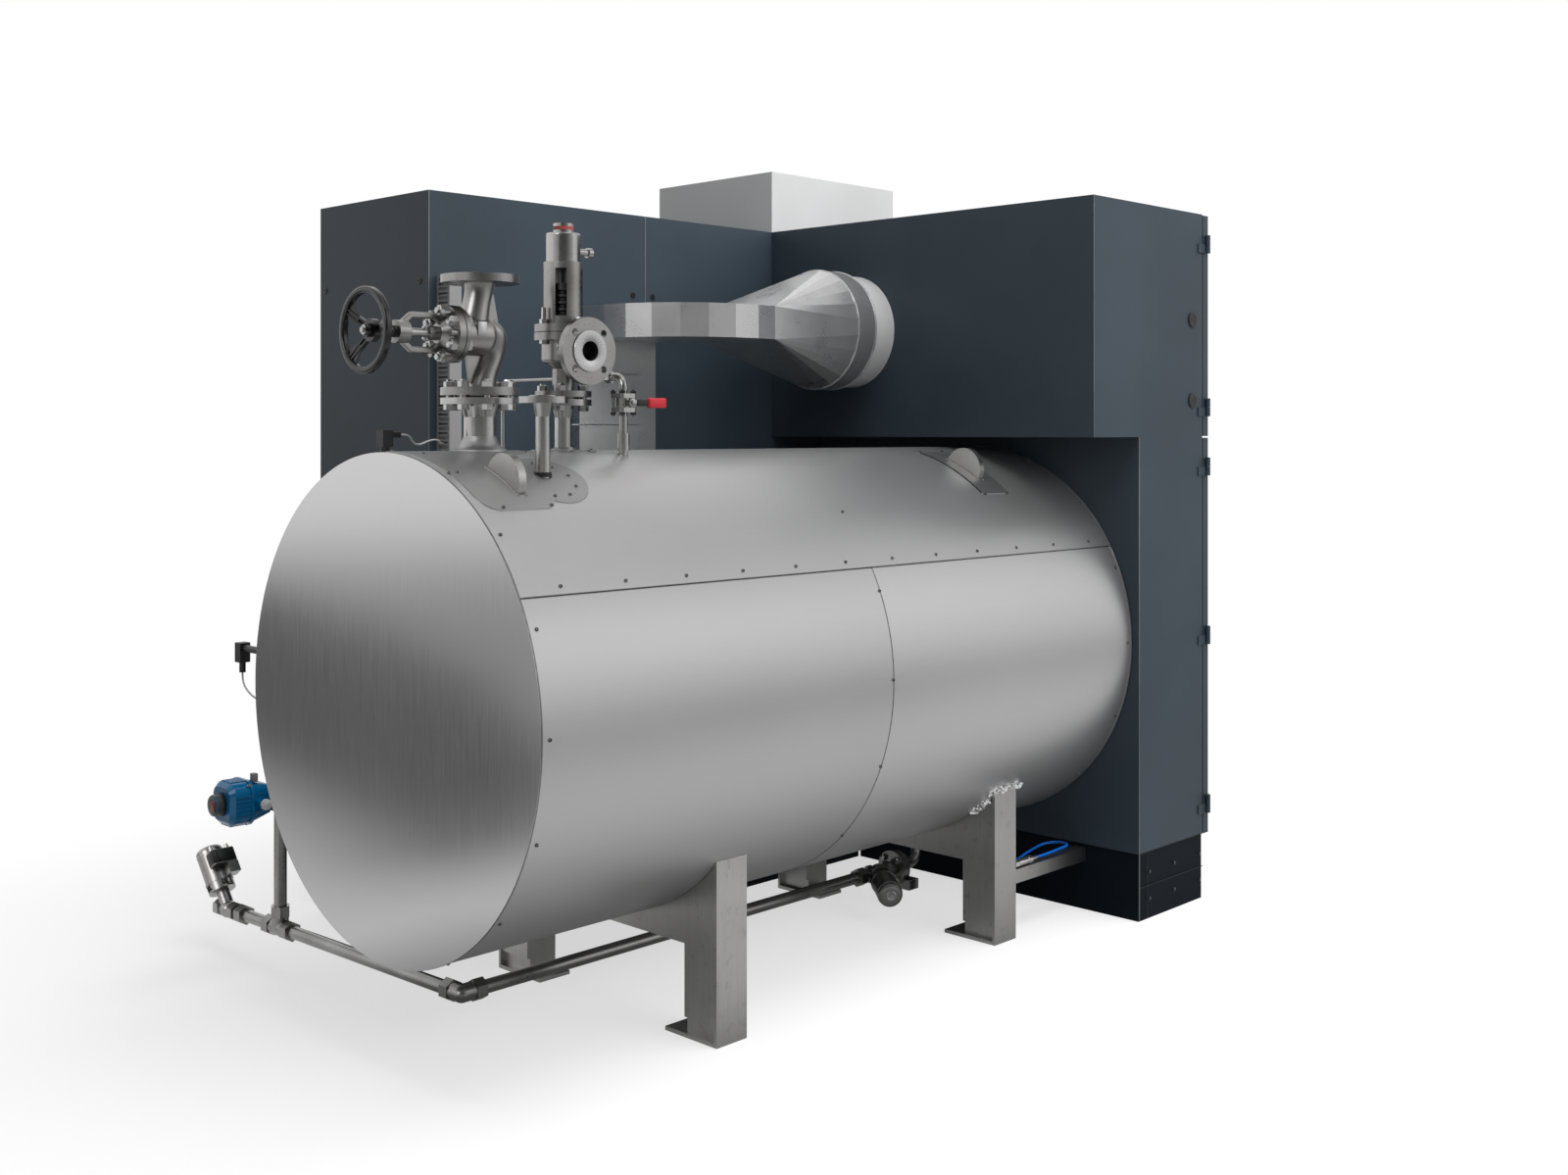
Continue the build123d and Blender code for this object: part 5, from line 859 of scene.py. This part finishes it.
def add_wiring_slots():
    """The narrow slots between the cut ones of the wiring duct, as dark strips on its face: painted shade for
    the openings.
    """
    first, pitch, count = 1862, 26, 42
    # Each strip is painted shade where a slot would open into the duct
    places = [Matrix.Translation(at(606.95, 651, first - pitch * i)) for i in range(count)]
    keep(spread(plate((0.4, 44, 6), 0.12, 1), places), "wiring_slot_shade", "wiring_plastic", finish="joint_and_shade_dark")


def add_flue_seams():
    """Standing folds of the riser, the dark sealing line of the ring and its beads."""
    ribs = [slab(at(984, 602, z - 2), at(1286, 605, z + 2), 0.001) for z in (1625.0, 1471.0, 1317.0, 1163.0)]
    keep(joined(ribs), "riser_seams", "duct_zinc")
    y, z = 320.0, 1772.0
    seal = turned([(178.6, -2.5), (181, -2.0), (181, 2.0), (178.6, 2.5), (178.6, -2.5)], 96,
                  facing(at(1857, y, z), BACK))
    keep(seal, "collar_seal", "wiring_plastic", finish="joint_and_shade_dark")
    bead = lathe([(187.8, -1.6), (189.6, -1.2), (189.6, 1.2), (187.8, 1.6), (187.8, -1.6)], 96)
    keep(spread(bead, [facing(at(x, y, z), BACK) for x in (1775, 1853)]), "ring_beads", "duct_zinc")


# The drain's valves and actuator
def drain_x(share):
    """The X of the drain's cross pipe at a share of its length."""
    return DRAIN_X - DRAIN_CROSS * share * math.sin(DRAIN_SKEW)


def add_actuator_details():
    """The collar, indicator window, cover screws, cable gland, clip and bracket of the actuator."""
    y, z = ACTUATOR_Y, ACTUATOR_Z
    back = drain_x(RISER_SHARE) - 48.0
    front = back - 121.0
    collar = turned([(27.3, 0), (30.5, 0.8), (30.5, 6.5), (27.3, 7.5), (27.3, 0)], 48,
                    facing(at(front, y, z), BACK))
    keep(collar, "actuator_collar", "black_plastic")
    lens = turned([(25.5, 0.0), (25.5, 1.6), (21.0, 3.2), (12.0, 4.2)], 40,
                  facing(at(front - 24.6, y, z), BACK))
    keep(lens, "actuator_lens", "black_plastic", finish="lens_grey")
    flag = slab(at(front - 30.2, y - 19.0, z - 14.0), at(front - 27.4, y - 2.0, z + 14.0), 0.001)
    keep(flag, "actuator_flag", "lever_red", finish="lens_red")
    window = turned([(27.1, -18.0), (28.2, -17.5), (28.2, -2.5), (27.1, -2.0), (27.1, -18.0)], 48,
                    facing(at(front - 25, y, z), BACK))
    keep(window, "actuator_window", "black_plastic", finish="lens_grey")
    half = 47.5
    screws = [facing(at(back - 67.4, y + side * half, z + up * half), BACK)
              for side in (-1, 1) for up in (-1, 1)]
    keep_bolts(hex_nut(8, 5, washer=1.2), screws, "actuator_screws")
    gland = turned([(9, 0), (14.5, 0.5), (14.5, 8), (11.5, 9), (11.5, 16), (8.5, 19), (4, 19.5), (3.4, 16)],
                   28, facing(at(back - 40.6, y - 82.2, z), NEAR))
    keep(gland, "actuator_gland", "white_cable", finish="gland_white")
    clip = slab(at(back - 55, y - 44, z + 53), at(back - 40, y - 26, z + 76), 0.002)
    keep(clip, "actuator_clip", "wiring_plastic")
    bracket = slab(at(back - 1.0, y - 47, z - 30), at(back + 17, y - 35, z + 30), 0.002)
    keep(bracket, "actuator_bracket", "black_plastic")


def block_in(place, low, high, edge):
    """A rounded block given in millimetres in a valve's own tilted frame."""
    return moved(slab(Vector(low) * MM, Vector(high) * MM, edge * MM), place)


def axes(origin, x_axis, z_axis):
    """The frame with these X and Z axes at a place."""
    x_axis, z_axis = Vector(x_axis).normalized(), Vector(z_axis).normalized()
    turn = Matrix((x_axis, z_axis.cross(x_axis), z_axis)).transposed().to_4x4()
    return Matrix.Translation(origin) @ turn


def piston_frames():
    """The tilted frames of the far and the near valve, with Z along each piston."""
    turn = Matrix.Rotation(DRAIN_SKEW, 3, "Z")
    piston = turn @ Vector((0, math.cos(PISTON_TILT), math.sin(PISTON_TILT)))
    far_y = DRAIN_Y + DRAIN_CROSS * math.cos(DRAIN_SKEW)
    far = axes(at(drain_x(1.0), far_y, DRAIN_Z), turn @ Vector(ALONG), piston)
    out = Vector((0, -math.cos(PISTON_ROLL), -math.sin(PISTON_ROLL)))
    piston = Vector(BACK) * math.cos(PISTON_TILT) + out * math.sin(PISTON_TILT)
    near = axes(at(1757, DRAIN_Y, DRAIN_Z), (0, -math.sin(PISTON_ROLL), math.cos(PISTON_ROLL)), piston)
    return far, near


def add_valve_coils():
    """The black coils, the push-in fittings and the cap rings of the two pneumatic valves."""
    far, near = piston_frames()
    coils = [block_in(far, (-35.6, -68.6, 111.4), (35.6, -33.4, 154.6), 5.0),
             block_in(far, (-20, -72.5, 118), (22, -68.2, 148), 1.5),
             slab(at(1834.6, -17.6, 52.6), at(1865, 26, 84.2), 0.004)]
    keep(joined(coils), "valve_coils", "black_plastic")
    caps = []
    for place in (far, near):
        caps.append(turned([(16, 0.0), (16, 1.6), (13, 2.6), (11.5, 1.4), (6, 1.4), (5, 3.2)], 40,
                           place @ Matrix.Translation((0, 0, 186.0 * MM))))
        caps.append(turned([(37.1, 0), (38.0, 0.6), (38.0, 3.4), (37.1, 4.0), (37.1, 0)], 56,
                           place @ Matrix.Translation((0, 0, 166.0 * MM))))
    keep(joined(caps), "piston_caps", "valve_casting", finish="bright_face")
    fittings = [turned([(6.2, 0), (6.2, 9), (5.0, 10), (5.0, 15), (3.4, 15.5)], 20,
                       far @ Matrix.Translation(Vector((x, -52, 155)) * MM)) for x in (-24, 24)]
    keep(joined(fittings), "push_fittings", "brass")


def add_foil():
    """Crumpled foil at the top of the near rear leg, where the skin is sealed."""
    count, leg_x, leg_width = 14, 1711, 106.0
    radius = DRUM_SKIN + 3.0
    scraps = []
    for i in range(count):
        patch = begin("grid", x_subdivisions=5, y_subdivisions=5, size=0.024)
        edit_all()
        bpy.ops.transform.vertex_random(offset=0.004, seed=i + 1)
        bpy.ops.mesh.extrude_region_move(TRANSFORM_OT_translate={"value": (0.0, 0.0, 0.0012)})
        settle(patch)
        # The first scraps climb the skin beside the leg and the rest follow the leg's top edge
        share = i / (count - 1)
        angle = math.radians(41.6 + (1.0 - min(share * 1.8, 1.0)) * 10.0)
        x = leg_x + leg_width * max(share - 0.55, 0.0) / 0.45
        spot = at(x, -radius * math.cos(angle), DRUM_AXIS - radius * math.sin(angle))
        way = (-0.6 + 0.4 * math.sin(i * 1.3), -0.7, -0.4 + 0.4 * math.sin(i * 2.1))
        scraps.append(moved(patch, facing(spot, way, i * 0.8)))
    keep(joined(scraps), "seal_foil", "turned_steel", smooth=15.0, finish="seal_foil")


def add_lever_grip():
    """The steel hub and blade of the lever, its neck and the moulded sleeve on its end."""
    back = -136.9
    hub = turned([(10.6, 0), (10.6, 4.4), (9.6, 5.0), (6.5, 5.0)], 32,
                 facing(at(LEVER_X, -137.0, LEVER_Z), NEAR))
    blade = slab(at(LEVER_X + 2, -142.0, LEVER_Z - 6.6), at(LEVER_X + 14, -136.8, LEVER_Z + 6.6), 0.001)
    keep(joined([hub, blade]), "lever_blade", "turned_steel", "lever", finish="bright_bolt")
    neck = slab(at(LEVER_X + 12, -143.4, LEVER_Z - 8.2), at(LEVER_X + 49, back, LEVER_Z + 8.2), 0.0022, 3)
    keep(neck, "lever_neck", "black_plastic", "lever")
    grip = slab(at(LEVER_X + 49, -147.4, LEVER_Z - 12.6), at(LEVER_X + 107, back, LEVER_Z + 12.6), 0.0042, 3)
    keep(grip, "lever_grip", "lever_red", "lever")


def add_pieces():
    add_skin_screws()
    add_cover_screws()
    add_skin_edges()
    add_nozzle_collars()
    add_lug_welds()
    add_flange_bolts()
    add_gaskets()
    add_turned_faces()
    add_casting_pads()
    add_stem_sleeve()
    add_cabinet_trim()
    add_plinth_lines()
    add_flue_seams()
    add_wiring_slots()
    add_foil()
    add_valve_coils()
    add_actuator_details()
    add_lever_grip()


bpy.context.scene.view_settings.view_transform = "Standard"
add_camera()
add_cords()
add_pieces()
add_studio()
add_floor()
